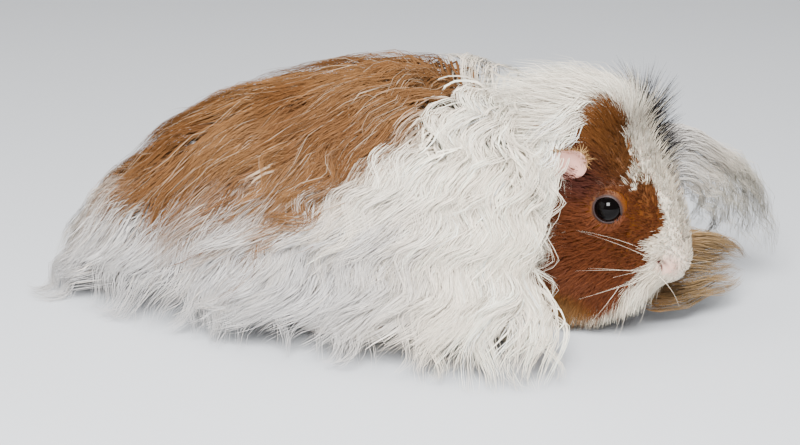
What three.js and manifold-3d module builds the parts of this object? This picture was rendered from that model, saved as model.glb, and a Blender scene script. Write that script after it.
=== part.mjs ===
// A long-haired guinea pig crouching at rest, life size, as a solid museum model.
// Millimetres, +X towards the head, +Y to the animal's left, +Z up. The group's origin is the
// middle of the model's box on the floor.
//
// The long coat is a dome that falls from a parting along the back to a hem on the floor. It is
// parted by thin cuts into rump, trunk, shoulders and neck, with the lower coat at the sides and
// the train behind. The head, ears, eyes and legs sit in it as pieces of their own.
import * as THREE from "three";
import { mergeVertices } from "three/addons/utils/BufferGeometryUtils.js";
import Module from "manifold-3d";

const wasm = await Module();
wasm.setup();

// ---- Driving dimensions -------------------------------------------------------------------

const GAP = 0.35; // clear space between neighbouring solids
const BIG = 900; // side of the blocks that cut

const PARTING = { rear: -52, front: 44 }; // ends of the parting, along the straightened body
const BACK_HEIGHTS = [
  { x: -52, height: 104 }, // over the hips
  { x: -20, height: 111 }, // top of the back
  { x: 20, height: 106 }, // withers
  { x: 44, height: 102 }, // nape
];
const HEM = {
  middle: 26, // the widest place, along the body
  train: 201, // from there back to the end of the train
  chest: 77, // from there forward to the ruff's corners
  halfWidth: 84,
  notch: 34, // how far the hem draws back under the chin
  notchHalfWidth: 26,
};
const HEM_SQUARE = { front: 3.1, rear: 1.45 }; // powers of the hem's outline: 2 is an ellipse
const HEM_BAND = 7; // width of the flat that lies on the floor
const HEM_CHAMFER = 4; // from that flat in to the lifted underside
const BELLY_LIFT = 2; // the underside inside that flat
const FALL = { side: 2.35, front: 2.3, rear: 1.62 }; // roundness of the coat's fall: 2 is a circle
const FLARE = { side: 0.14, front: 0.46, rear: 0.05 }; // share of its reach that spreads at the hem
const LOCKS = { count: 34, depth: 3.2, sweep: 0.055 }; // the coat's ripples, which sweep back
const COAT_MESH = { turns: 96, falls: 9 };

// The cuts through the coat, as distances along the straightened body.
const CUTS = {
  shoulders: 34,
  neck: 58,
  rump: -46,
  train: { x: -84, lean: 1.1 },
  flanks: { x: -40, halfWidth: 36, spread: 0.85 }, // the low wedges at the sides
  ruff: { x: 80, halfWidth: 34, spread: 0.9 },
};

const BEND = { from: -5, to: 80, turn: THREE.MathUtils.degToRad(22) }; // neck turned to the right

const HEAD = { x: 82, height: 62.5, pitch: THREE.MathUtils.degToRad(24) };
// Sections of the furred head, forward from the line between the eyes, before it is bowed.
// wide is the level of the greatest width.
const HEAD_SECTIONS = [
  { x: -46, half: 22, top: 20, bottom: -26, wide: -4 }, // occiput
  { x: -28, half: 31, top: 37, bottom: -44, wide: -8 }, // ears
  { x: -12, half: 30, top: 38, bottom: -56, wide: -14 }, // jowls
  { x: 2, half: 25.5, top: 28, bottom: -58, wide: -16 }, // eyes
  { x: 14, half: 20.5, top: 18.5, bottom: -49, wide: -16 }, // cheeks
  { x: 25, half: 15, top: 8, bottom: -34, wide: -16 }, // muzzle
  { x: 33, half: 10, top: -3, bottom: -25, wide: -15 }, // nose
];
const HEAD_TIP = { x: 37.5, level: -14 };
const HEAD_SQUARE = 2.25; // power of its sections: 2 is an ellipse
const HEAD_MESH = { turns: 24, rings: 13 };
const MOUTH = { x: 24, level: -30, tilt: THREE.MathUtils.degToRad(24) };
const MUZZLE_CUT = 17; // forward of the eyes

const EYE = { radius: 5.9, x: 2.4, side: 20.3, level: 0.8 };
const EAR = { length: 24, width: 22, thick: 1.7, x: -17, side: 27.5, level: 16, cup: 0.022 };
const EAR_TURN = { droop: 0.55, back: 0.5, nod: 0.5 };

const FORELEG = { x: 37, side: 27, height: 32, radius: 8.5, paw: 24, pawWidth: 13, toes: 4 };
const HIND_LEG = { x: -48, side: 34, height: 40, radius: 15, paw: 44, pawWidth: 14, toes: 3 };
const TOE = { length: 9, radius: 2.4, claw: 4.5, clawRadius: 1.1 };
const WELL_ROOM = { ahead: 6, around: 3, above: 6 }; // round each leg under the coat

// ---- Colours --------------------------------------------------------------------------------

const finish = (color, roughness) =>
  new THREE.MeshStandardMaterial({ color, roughness, metalness: 0 });
const WHITE_COAT = finish(0xe9e2d4, 0.8);
const TAN_COAT = finish(0xa8713f, 0.8);
const RUST_COAT = finish(0x93491a, 0.8);
const GREY_COAT = finish(0x8f8b84, 0.8);
const PINK_SKIN = finish(0xd9a595, 0.6);
const BLACK_EYE = finish(0x0b0908, 0.08);

// ---- Small helpers ----------------------------------------------------------------------------

const { clamp, lerp, smoothstep } = THREE.MathUtils;
const powered = (x, p) => Math.sign(x) * Math.abs(x) ** p;

/** A smooth curve of one value through stations that rise in x. */
function through(stations, key) {
  const slope = (i) => {
    const a = stations[Math.max(i - 1, 0)];
    const b = stations[Math.min(i + 1, stations.length - 1)];
    return (b[key] - a[key]) / (b.x - a.x);
  };
  return (x) => {
    const at = clamp(x, stations[0].x, stations.at(-1).x);
    const i = clamp(stations.findIndex((s) => s.x > at) - 1, 0, stations.length - 2);
    const last = at >= stations.at(-1).x;
    const k = last ? stations.length - 2 : i;
    const a = stations[k];
    const b = stations[k + 1];
    const step = b.x - a.x;
    const t = (at - a.x) / step;
    const rise = slope(k) * step;
    const fall = slope(k + 1) * step;
    return (
      a[key] * (2 * t ** 3 - 3 * t ** 2 + 1) +
      rise * (t ** 3 - 2 * t ** 2 + t) +
      b[key] * (3 * t ** 2 - 2 * t ** 3) +
      fall * (t ** 3 - t ** 2)
    );
  };
}

/** A manifold-3d solid from a three.js geometry. */
function solidOf(geometry) {
  const bare = geometry.index ? geometry.toNonIndexed() : geometry.clone();
  bare.deleteAttribute("normal");
  bare.deleteAttribute("uv");
  const merged = mergeVertices(bare, 1e-3);
  return new wasm.Manifold(
    new wasm.Mesh({
      numProp: 3,
      vertProperties: merged.attributes.position.array,
      triVerts: new Uint32Array(merged.index.array),
    }),
  );
}

/** The largest single body of a solid, without slivers that a cut may leave. */
const largest = (solid) =>
  solid.decompose().reduce((a, b) => (b.volume() > a.volume() ? b : a));

/**
 * A closed shape from rings of points that run once round and stack from first to last, with a
 * point at each end. point(turn, along) takes both from 0 to 1.
 */
function ringed(turns, rings, point, first, last) {
  const vertices = [first];
  for (let j = 0; j < rings; j++) {
    for (let i = 0; i < turns; i++) vertices.push(point(i / turns, j / (rings - 1)));
  }
  vertices.push(last);
  const at = (i, j) => 1 + j * turns + (i % turns);
  const end = vertices.length - 1;
  const index = [];
  for (let i = 0; i < turns; i++) {
    index.push(0, at(i + 1, 0), at(i, 0));
    index.push(end, at(i, rings - 1), at(i + 1, rings - 1));
    for (let j = 0; j < rings - 1; j++) {
      index.push(at(i, j), at(i + 1, j), at(i, j + 1));
      index.push(at(i + 1, j), at(i + 1, j + 1), at(i, j + 1));
    }
  }
  const geometry = new THREE.BufferGeometry().setFromPoints(vertices);
  return geometry.setIndex(index);
}

/** The two halves of a solid at a plane, with the gap between them: [behind, ahead]. */
function parted(solid, normal, onPlane) {
  const away = normal.clone().normalize();
  const turn = new THREE.Quaternion().setFromUnitVectors(new THREE.Vector3(0, 0, 1), away);
  const block = (side) => {
    const centre = onPlane.clone().addScaledVector(away, side * (BIG / 2 + GAP / 2));
    return solidOf(new THREE.BoxGeometry(BIG, BIG, BIG).applyQuaternion(turn).translate(...centre));
  };
  return [largest(solid.intersect(block(-1))), largest(solid.intersect(block(1)))];
}

// ---- The turned body ----------------------------------------------------------------------

/** How far the body has turned at a distance along it, as an angle to the right. */
const turnAt = (x) => BEND.turn * clamp((x - BEND.from) / (BEND.to - BEND.from), 0, 1);

/** Takes a point of the straightened body to its place in the turned one. */
function bent(p) {
  const radius = (BEND.to - BEND.from) / BEND.turn;
  const angle = turnAt(p.x);
  const before = Math.min(p.x, BEND.from);
  const beyond = Math.max(p.x - BEND.to, 0);
  const axisX = before + radius * Math.sin(angle) + beyond * Math.cos(angle);
  const axisY = -radius * (1 - Math.cos(angle)) - beyond * Math.sin(angle);
  return new THREE.Vector3(axisX + p.y * Math.sin(angle), axisY + p.y * Math.cos(angle), p.z);
}

/** Parts a solid across the turned body at a distance along it, leaning back by some slope. */
function partedAcross(solid, x, lean = 0) {
  const angle = turnAt(x);
  const ahead = new THREE.Vector3(Math.cos(angle), -Math.sin(angle), lean);
  return parted(solid, ahead, bent(new THREE.Vector3(x, 0, 0)));
}

/** Cuts the low outer wedge off one side of a solid: [wedge, core]. side is -1 for the right. */
function wedged(solid, { x, halfWidth, spread }, side) {
  const angle = turnAt(x);
  const inward = new THREE.Vector3(-side * Math.sin(angle), -side * Math.cos(angle), spread);
  return parted(solid, inward, bent(new THREE.Vector3(x, side * halfWidth, 0)));
}

// ---- The coat -------------------------------------------------------------------------------

const backHeight = through(BACK_HEIGHTS, "height");

/** The hem's outline on the floor, at a turn from the tail past the right side to the chest. */
function hemPoint(turn) {
  const forward = -Math.cos(2 * Math.PI * turn);
  const left = -Math.sin(2 * Math.PI * turn);
  const ahead = forward > 0;
  const square = ahead ? HEM_SQUARE.front : HEM_SQUARE.rear;
  const reach = ahead ? HEM.chest : HEM.train;
  const y = HEM.halfWidth * powered(left, 2 / square);
  const notch = ahead ? HEM.notch * Math.exp(-((y / HEM.notchHalfWidth) ** 2)) * forward : 0;
  return { x: HEM.middle + reach * powered(forward, 2 / square) - notch, y, forward };
}

/** The coat's outer surface, from the parting (fall 0) to the hem (fall 1). */
function coatPoint(turn, fall) {
  const hem = hemPoint(turn);
  const middle = (PARTING.rear + PARTING.front) / 2;
  const startX = middle + ((PARTING.front - PARTING.rear) / 2) * hem.forward;
  const endwise = hem.forward ** 2;
  const end = hem.forward > 0 ? "front" : "rear";
  const round = lerp(FALL.side, FALL[end], endwise);
  const flare = lerp(FLARE.side, FLARE[end], endwise);
  const angle = (fall * Math.PI) / 2;
  const out = (1 - flare) * Math.sin(angle) ** (2 / round) + flare * fall ** 6;
  const height = backHeight(startX) * Math.max(Math.cos(angle), 0) ** (2 / round);
  const sweep = LOCKS.sweep * fall * (hem.forward > 0.6 ? 0.3 : 1);
  const wave = Math.cos(2 * Math.PI * LOCKS.count * (turn + (turn < 0.5 ? sweep : -sweep)));
  const lock = 1 + (LOCKS.depth / HEM.halfWidth) * wave * smoothstep(fall, 0.25, 1);
  const x = startX + (hem.x - startX) * out * lock;
  return bent(new THREE.Vector3(x, hem.y * out * lock, Math.max(height, 0)));
}

/** The whole coat as one solid: the dome, the band on the floor and the lifted underside. */
function coatSolid() {
  const { turns, falls } = COAT_MESH;
  const rings = falls + 2;
  const middle = bent(new THREE.Vector3(HEM.middle, 0, BELLY_LIFT));
  const inset = (turn, by, lift) => {
    const edge = coatPoint(turn, 1);
    const inward = new THREE.Vector2(middle.x - edge.x, middle.y - edge.y).setLength(by);
    return new THREE.Vector3(edge.x + inward.x, edge.y + inward.y, lift);
  };
  const point = (turn, along) => {
    const ring = Math.round(along * (rings - 1));
    if (ring < falls) return coatPoint(turn, (ring + 1) / falls);
    if (ring === falls) return inset(turn, HEM_BAND, 0);
    return inset(turn, HEM_BAND + HEM_CHAMFER, BELLY_LIFT);
  };
  const vertices = [];
  for (let j = 0; j < rings; j++) {
    for (let i = 0; i < turns; i++) vertices.push(point(i / turns, j / (rings - 1)));
  }
  const ridge = [];
  for (let i = 0; i <= turns / 2; i++) ridge.push(coatPoint(i / turns, 0));
  const ridgeStart = vertices.length;
  vertices.push(...ridge, middle);
  const centre = vertices.length - 1;
  const at = (i, j) => j * turns + (i % turns);
  const onRidge = (i) => ridgeStart + Math.min(i, turns - i);
  const index = [];
  for (let i = 0; i < turns; i++) {
    index.push(onRidge(i), at(i, 0), at(i + 1, 0));
    if (onRidge(i) !== onRidge(i + 1)) index.push(onRidge(i), at(i + 1, 0), onRidge(i + 1));
    for (let j = 0; j < rings - 1; j++) {
      index.push(at(i, j), at(i, j + 1), at(i + 1, j + 1));
      index.push(at(i, j), at(i + 1, j + 1), at(i + 1, j));
    }
    index.push(centre, at(i + 1, rings - 1), at(i, rings - 1));
  }
  return new THREE.BufferGeometry().setFromPoints(vertices).setIndex(index);
}

// ---- The head -------------------------------------------------------------------------------

/** Places a geometry of the head, given from the point between the eyes. */
function onHead(geometry) {
  const place = bent(new THREE.Vector3(HEAD.x, 0, HEAD.height));
  return geometry
    .rotateY(HEAD.pitch)
    .rotateZ(-BEND.turn)
    .translate(place.x, place.y, place.z);
}

/** The furred head, grown by some amount all round. */
function headGeometry(grow = 0) {
  const value = Object.fromEntries(
    ["half", "top", "bottom", "wide"].map((key) => [key, through(HEAD_SECTIONS, key)]),
  );
  const rear = HEAD_SECTIONS[0].x;
  const front = HEAD_SECTIONS.at(-1).x;
  const point = (turn, along) => {
    const x = lerp(rear, front, along);
    const angle = 2 * Math.PI * turn;
    const across = powered(Math.cos(angle), 2 / HEAD_SQUARE);
    const up = powered(Math.sin(angle), 2 / HEAD_SQUARE);
    const wide = value.wide(x);
    const reach = up > 0 ? value.top(x) - wide : wide - value.bottom(x);
    return new THREE.Vector3(x, (value.half(x) + grow) * across, wide + (reach + grow) * up);
  };
  const back = new THREE.Vector3(rear - 5 - grow, 0, value.wide(rear));
  const tip = new THREE.Vector3(HEAD_TIP.x + grow, 0, HEAD_TIP.level);
  return onHead(ringed(HEAD_MESH.turns, HEAD_MESH.rings, point, back, tip));
}

/** One eyeball. side is -1 for the right. */
function eyeGeometry(side, grow = 0) {
  const ball = new THREE.SphereGeometry(EYE.radius + grow, 12, 8);
  return onHead(ball.translate(EYE.x, side * EYE.side, EYE.level));
}

/** One ear: a thin cupped petal that hangs outwards and back. */
function earGeometry(side, grow = 0) {
  const petal = new THREE.SphereGeometry(1, 14, 6);
  petal.scale(EAR.length / 2 + grow, EAR.thick / 2 + grow, EAR.width / 2 + grow);
  const place = petal.attributes.position;
  for (let i = 0; i < place.count; i++) {
    const reach = place.getX(i) ** 2 + place.getZ(i) ** 2;
    place.setY(i, place.getY(i) + side * EAR.cup * reach);
  }
  petal.rotateX(side * EAR_TURN.droop).rotateZ(side * -EAR_TURN.back).rotateY(EAR_TURN.nod);
  return onHead(petal.translate(EAR.x, side * EAR.side, EAR.level));
}

// ---- The legs -------------------------------------------------------------------------------

/** A stretched ball. */
const ball = (x, y, z, rx, ry, rz, sides = 8, bands = 6) =>
  solidOf(new THREE.SphereGeometry(1, sides, bands).scale(rx, ry, rz).translate(x, y, z));

/** Stands a solid that was made at a distance along the straightened body in the turned one. */
function stood(solid, x) {
  const at = bent(new THREE.Vector3(x, 0, 0));
  const degrees = -THREE.MathUtils.radToDeg(turnAt(x));
  return solid.translate([-x, 0, 0]).rotate([0, 0, degrees]).translate([at.x, at.y, 0]);
}

/** One leg with its paw, toes and claws. side is -1 for the right. */
function legSolid({ x, side: apart, height, radius, paw, pawWidth, toes }, side) {
  const y = side * apart;
  const parts = [
    ball(x, y, height / 2 + 3, radius, radius * 0.75, height / 2),
    ball(x + paw * 0.2, y, 4.5, paw / 2, pawWidth / 2, 6),
  ];
  for (let i = 0; i < toes; i++) {
    const across = (i / (toes - 1)) * 2 - 1;
    const toeY = y + across * (pawWidth / 2 - 1.6);
    const toeX = x + paw * 0.62 - Math.abs(across) * 2.4;
    parts.push(ball(toeX, toeY, 2.2, TOE.length / 2, TOE.radius * 0.85, TOE.radius, 6, 4));
    const claw = new THREE.ConeGeometry(TOE.clawRadius, TOE.claw, 4).rotateZ(-Math.PI / 2 - 0.25);
    parts.push(solidOf(claw.translate(toeX + TOE.length / 2 + 1.2, toeY, 1.9)));
  }
  const whole = parts.reduce((a, b) => a.add(b));
  const underFloor = new THREE.BoxGeometry(BIG, BIG, BIG).translate(0, 0, -BIG / 2);
  return stood(largest(whole.subtract(solidOf(underFloor))), x);
}

/** The room for a leg under the coat: a many-sided well a little wider than the leg. */
function legWell({ x, side: apart, height, radius, paw, pawWidth }, side) {
  const length = radius + paw * 0.75 + TOE.claw + WELL_ROOM.ahead;
  const width = Math.max(radius * 0.8, pawWidth / 2) + WELL_ROOM.around;
  const tall = height + 2 * WELL_ROOM.above;
  const well = new THREE.CylinderGeometry(1, 1, tall, 10).rotateX(Math.PI / 2);
  well.scale(length / 2 + WELL_ROOM.around, width, 1);
  well.translate(x - radius + length / 2, side * apart, height / 2);
  return stood(solidOf(well), x);
}

// ---- Long tufts of the head ---------------------------------------------------------------------

const V = (x, y, z) => new THREE.Vector3(x, y, z);
// Tufts that stand clear of the coat on the left: paths from the eyes' middle, level with the
// floor, and the half width, half thickness and tip of each.
const FORELOCK = {
  path: [V(2, 12, 20), V(17, 34, 17), V(28, 56, -2), V(31, 75, -22), V(29, 85, -38)],
  width: 19,
  thick: 6,
  tip: 1.4,
};
const CHEEK_TUFT = {
  path: [V(2, 18, -34), V(10, 36, -40), V(18, 52, -43), V(24, 68, -42)],
  width: 15,
  thick: 13,
  tip: 2.5,
};

/** A tuft as a flat sweep that tapers to its tip. */
function tuftGeometry({ path, width, thick, tip }) {
  const curve = new THREE.CatmullRomCurve3(path);
  const point = (turn, along) => {
    const ahead = curve.getTangent(along);
    const side = V(0, 0, 1).cross(ahead).normalize();
    const rise = ahead.clone().cross(side);
    const angle = 2 * Math.PI * turn;
    const taper = Math.sqrt(Math.max(1 - along ** 2, 0));
    return curve
      .getPoint(along)
      .addScaledVector(side, Math.cos(angle) * Math.max(width * taper, tip))
      .addScaledVector(rise, Math.sin(angle) * Math.max(thick * taper, tip));
  };
  const end = curve.getPoint(1).addScaledVector(curve.getTangent(1), tip);
  const sweep = ringed(10, 10, point, curve.getPoint(0), end);
  const place = bent(V(HEAD.x, 0, HEAD.height));
  return sweep.rotateZ(-BEND.turn).translate(place.x, place.y, place.z);
}

// ---- Assembly -------------------------------------------------------------------------------

const coat = solidOf(coatSolid());
const legs = {
  foreleg_right: [FORELEG, -1],
  foreleg_left: [FORELEG, 1],
  hindleg_right: [HIND_LEG, -1],
  hindleg_left: [HIND_LEG, 1],
};
const grownTuft = { ...CHEEK_TUFT, width: CHEEK_TUFT.width + 1, thick: CHEEK_TUFT.thick + 1 };
const room = [
  solidOf(headGeometry(GAP)),
  solidOf(tuftGeometry(grownTuft)),
  solidOf(earGeometry(-1, GAP)),
  solidOf(earGeometry(1, GAP)),
  ...Object.values(legs).map((leg) => legWell(...leg)),
];
const carved = room.reduce((whole, piece) => whole.subtract(piece), coat);

const [rear, front] = partedAcross(carved, CUTS.shoulders);
const [train, body] = partedAcross(rear, CUTS.train.x, CUTS.train.lean);
const [coatRight, bodyLeft] = wedged(body, CUTS.flanks, -1);
const [coatLeft, core] = wedged(bodyLeft, CUTS.flanks, 1);
const [rump, trunk] = partedAcross(core, CUTS.rump);
const [ruffRight, frontLeft] = wedged(front, CUTS.ruff, -1);
const [ruffLeft, frontCore] = wedged(frontLeft, CUTS.ruff, 1);
const [shoulders, neck] = partedAcross(frontCore, CUTS.neck);

const sockets = [-1, 1].flatMap((side) => [
  solidOf(eyeGeometry(side, GAP)),
  solidOf(earGeometry(side, GAP)),
]);
const wholeHead = sockets.reduce((head, hole) => head.subtract(hole), solidOf(headGeometry()));
const upAxis = new THREE.Vector3(0, 0, 1);
const sideAxis = new THREE.Vector3(0, 1, 0);
/** A direction of the head, as it was before it was bowed and turned, in the model's frame. */
const headward = (x, z) =>
  new THREE.Vector3(x, 0, z).applyAxisAngle(sideAxis, HEAD.pitch).applyAxisAngle(upAxis, -BEND.turn);
const headPoint = (x, z) => headward(x, z).add(bent(new THREE.Vector3(HEAD.x, 0, HEAD.height)));
const [head, face] = parted(largest(wholeHead), headward(1, 0), headPoint(MUZZLE_CUT, 0));
const lipNormal = headward(-Math.sin(MOUTH.tilt), Math.cos(MOUTH.tilt));
const [jaw, muzzle] = parted(face, lipNormal, headPoint(MOUTH.x, MOUTH.level));

const aroundTufts = solidOf(headGeometry(GAP)).add(solidOf(earGeometry(1, GAP)));
const tufts = [FORELOCK, CHEEK_TUFT].map((tuft) =>
  largest(solidOf(tuftGeometry(tuft)).subtract(aroundTufts)),
);

/** A named mesh of one solid, with its geometry about its own middle. */
function nodeMesh(name, solid, material) {
  const { numProp, vertProperties, triVerts } = solid.getMesh();
  const points = [];
  for (let i = 0; i < vertProperties.length; i += numProp) {
    points.push(new THREE.Vector3().fromArray(vertProperties, i));
  }
  const geometry = new THREE.BufferGeometry().setFromPoints(points).setIndex([...triVerts]);
  geometry.computeBoundingBox();
  const middle = geometry.boundingBox.getCenter(new THREE.Vector3());
  geometry.translate(-middle.x, -middle.y, -middle.z);
  geometry.computeVertexNormals();
  const mesh = new THREE.Mesh(geometry, material);
  mesh.name = name;
  mesh.position.copy(middle);
  return mesh;
}

const headGroup = new THREE.Group();
headGroup.add(
  nodeMesh("head", head, RUST_COAT),
  nodeMesh("muzzle", muzzle, WHITE_COAT),
  nodeMesh("jaw", jaw, WHITE_COAT),
  nodeMesh("ear_right", solidOf(earGeometry(-1)), PINK_SKIN),
  nodeMesh("ear_left", solidOf(earGeometry(1)), PINK_SKIN),
  nodeMesh("eye_right", solidOf(eyeGeometry(-1)), BLACK_EYE),
  nodeMesh("eye_left", solidOf(eyeGeometry(1)), BLACK_EYE),
  nodeMesh("forelock", tufts[0], GREY_COAT),
  nodeMesh("cheek_tuft_left", tufts[1], TAN_COAT),
);

const bodyGroup = new THREE.Group();
bodyGroup.add(
  nodeMesh("neck", neck, WHITE_COAT),
  nodeMesh("shoulders", shoulders, WHITE_COAT),
  nodeMesh("trunk", trunk, TAN_COAT),
  nodeMesh("rump", rump, TAN_COAT),
  nodeMesh("train", train, GREY_COAT),
  nodeMesh("coat_right", coatRight, WHITE_COAT),
  nodeMesh("coat_left", coatLeft, WHITE_COAT),
  nodeMesh("ruff_right", ruffRight, WHITE_COAT),
  nodeMesh("ruff_left", ruffLeft, WHITE_COAT),
);

const legGroup = new THREE.Group();
for (const [name, leg] of Object.entries(legs)) {
  legGroup.add(nodeMesh(name, legSolid(...leg), PINK_SKIN));
}

const animal = new THREE.Group();
animal.add(headGroup, bodyGroup, legGroup);
const box = new THREE.Box3().setFromObject(animal);
const middle = box.getCenter(new THREE.Vector3());
animal.position.set(-middle.x, -middle.y, -box.min.z);

const guineaPig = new THREE.Group();
guineaPig.add(animal);
export default guineaPig;
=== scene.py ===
"""A long-haired guinea pig crouching at rest: skin, coat, eyes, ears, paws and whiskers.

Shapes are worked out in millimetres and turned to metres as each mesh is made. +X runs along the
body to the head, +Y to the animal's left, +Z up.
"""

import logging
import math
from collections.abc import Callable, Sequence
from dataclasses import dataclass, replace
from enum import Enum

import bmesh
import bpy
import numpy as np
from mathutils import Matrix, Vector
from mathutils.kdtree import KDTree


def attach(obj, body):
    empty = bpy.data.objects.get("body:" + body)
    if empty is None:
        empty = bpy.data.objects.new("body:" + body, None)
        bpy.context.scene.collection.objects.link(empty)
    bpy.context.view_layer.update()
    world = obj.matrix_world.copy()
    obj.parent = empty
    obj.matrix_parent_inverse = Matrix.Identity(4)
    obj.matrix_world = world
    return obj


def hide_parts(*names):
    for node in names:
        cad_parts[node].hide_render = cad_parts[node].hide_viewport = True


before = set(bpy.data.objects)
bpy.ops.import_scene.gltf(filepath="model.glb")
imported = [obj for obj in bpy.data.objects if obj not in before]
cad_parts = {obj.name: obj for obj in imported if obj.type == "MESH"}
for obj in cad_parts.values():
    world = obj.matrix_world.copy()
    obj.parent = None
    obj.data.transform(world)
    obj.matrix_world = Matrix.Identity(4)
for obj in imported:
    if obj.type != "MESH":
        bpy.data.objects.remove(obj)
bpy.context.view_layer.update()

MM = 0.001
SEED = 20
SMALL = 1e-3
TURN = 2 * np.pi
Array = np.ndarray
Form = Callable[[Array, Array], Array]
Pieces = list[tuple[bpy.types.Object, str]]
log = logging.getLogger("guinea_pig")


class Side(Enum):
    """A side of the animal, with the sign of its Y."""

    RIGHT = -1
    LEFT = 1


class Tone(Enum):
    """Base colours of hair and skin, and the painted shade of the nostril slits, linear."""

    WHITE = (0.93, 0.825, 0.68)
    CREAM = (0.84, 0.70, 0.52)
    GOLD = (0.128, 0.050, 0.014)
    PALE_GOLD = (0.30, 0.155, 0.064)
    RUST = (0.118, 0.032, 0.001)
    DARK_RUST = (0.045, 0.012, 0.003)
    DUN = (0.20, 0.14, 0.085)
    ASH = (0.50, 0.485, 0.48)
    BLACK = (0.025, 0.022, 0.022)
    BUFF = (0.42, 0.26, 0.11)
    PINK = (0.58, 0.31, 0.25)
    # DARK_PINK is painted shade: the dark inside the nostril slits.
    DARK_PINK = (0.07, 0.015, 0.015)
    LID = (0.03, 0.018, 0.017)
    HORN = (0.42, 0.34, 0.27)

    @property
    def rgb(self) -> Array:
        """The colour as an array."""
        return np.array(self.value)


# ---- Small helpers ---------------------------------------------------------------------------


def lerp(a: Array, b: Array, t: Array) -> Array:
    """The value a share t of the way from a to b."""
    return a + (b - a) * t


def step(x: Array, low: float, high: float) -> Array:
    """A smooth step from 0 at low to 1 at high."""
    t = np.clip((x - low) / (high - low), 0, 1)
    return t * t * (3 - 2 * t)


def powered(x: Array, power: float) -> Array:
    """x to a power, with its sign kept."""
    return np.sign(x) * np.abs(x) ** power


def unit(v: Array) -> Array:
    """Vectors at length one."""
    return v / np.maximum(np.linalg.norm(v, axis=-1, keepdims=True), 1e-9)


def spots(x: Array | float, y: Array | float, z: Array | float) -> Array:
    """Places from their coordinates."""
    return np.stack(np.broadcast_arrays(x, y, z), axis=-1)


def spun(a: Array, b: Array, angle: float) -> tuple[Array, Array]:
    """Two coordinates turned by an angle, from the first towards the second."""
    return a * math.cos(angle) - b * math.sin(angle), a * math.sin(angle) + b * math.cos(angle)


def through(stations: Sequence[float], values: Sequence[float]) -> Callable[[Array], Array]:
    """A smooth curve through stations that rise.

    Args:
        stations: Where the curve's values are known.
        values: The values there.

    Returns:
        A function of place, held level beyond both ends.
    """
    xs, ys = np.array(stations, float), np.array(values, float)
    row = np.arange(len(xs))
    ahead, behind = np.minimum(row + 1, len(xs) - 1), np.maximum(row - 1, 0)
    slopes = (ys[ahead] - ys[behind]) / (xs[ahead] - xs[behind])

    def curve(x: Array) -> Array:
        """The value at x.

        Args:
            x: Where to read the curve.

        Returns:
            Its values there.
        """
        at = np.clip(x, xs[0], xs[-1])
        i = np.clip(np.searchsorted(xs, at, side="right") - 1, 0, len(xs) - 2)
        width = xs[i + 1] - xs[i]
        t = (at - xs[i]) / width
        return (
            ys[i] * (2 * t**3 - 3 * t**2 + 1)
            + slopes[i] * width * (t**3 - 2 * t**2 + t)
            + ys[i + 1] * (3 * t**2 - 2 * t**3)
            + slopes[i + 1] * width * (t**3 - t**2)
        )

    return curve


# ---- Forms ------------------------------------------------------------------------------------


@dataclass(frozen=True)
class Bend:
    """The body's axis, straight behind the shoulders and turned to the right ahead of them."""

    start: float = -5.0
    end: float = 80.0
    turn: float = math.radians(22)
    shift: tuple[float, float] = (14.89, 2.83)

    def place(self, x: Array, y: Array, z: Array) -> Array:
        """Takes points of the straightened body to their places in the turned one.

        Args:
            x: How far forward they are, in millimetres.
            y: How far to the left.
            z: How high.

        Returns:
            Places in the model's frame, in millimetres.
        """
        radius = (self.end - self.start) / self.turn
        angle = self.turn * np.clip((x - self.start) / (self.end - self.start), 0, 1)
        before, beyond = np.minimum(x, self.start), np.maximum(x - self.end, 0)
        axis_x = before + radius * np.sin(angle) + beyond * np.cos(angle)
        axis_y = -radius * (1 - np.cos(angle)) - beyond * np.sin(angle)
        ahead = axis_x + y * np.sin(angle) + self.shift[0]
        return spots(ahead, axis_y + y * np.cos(angle) + self.shift[1], z)


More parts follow.
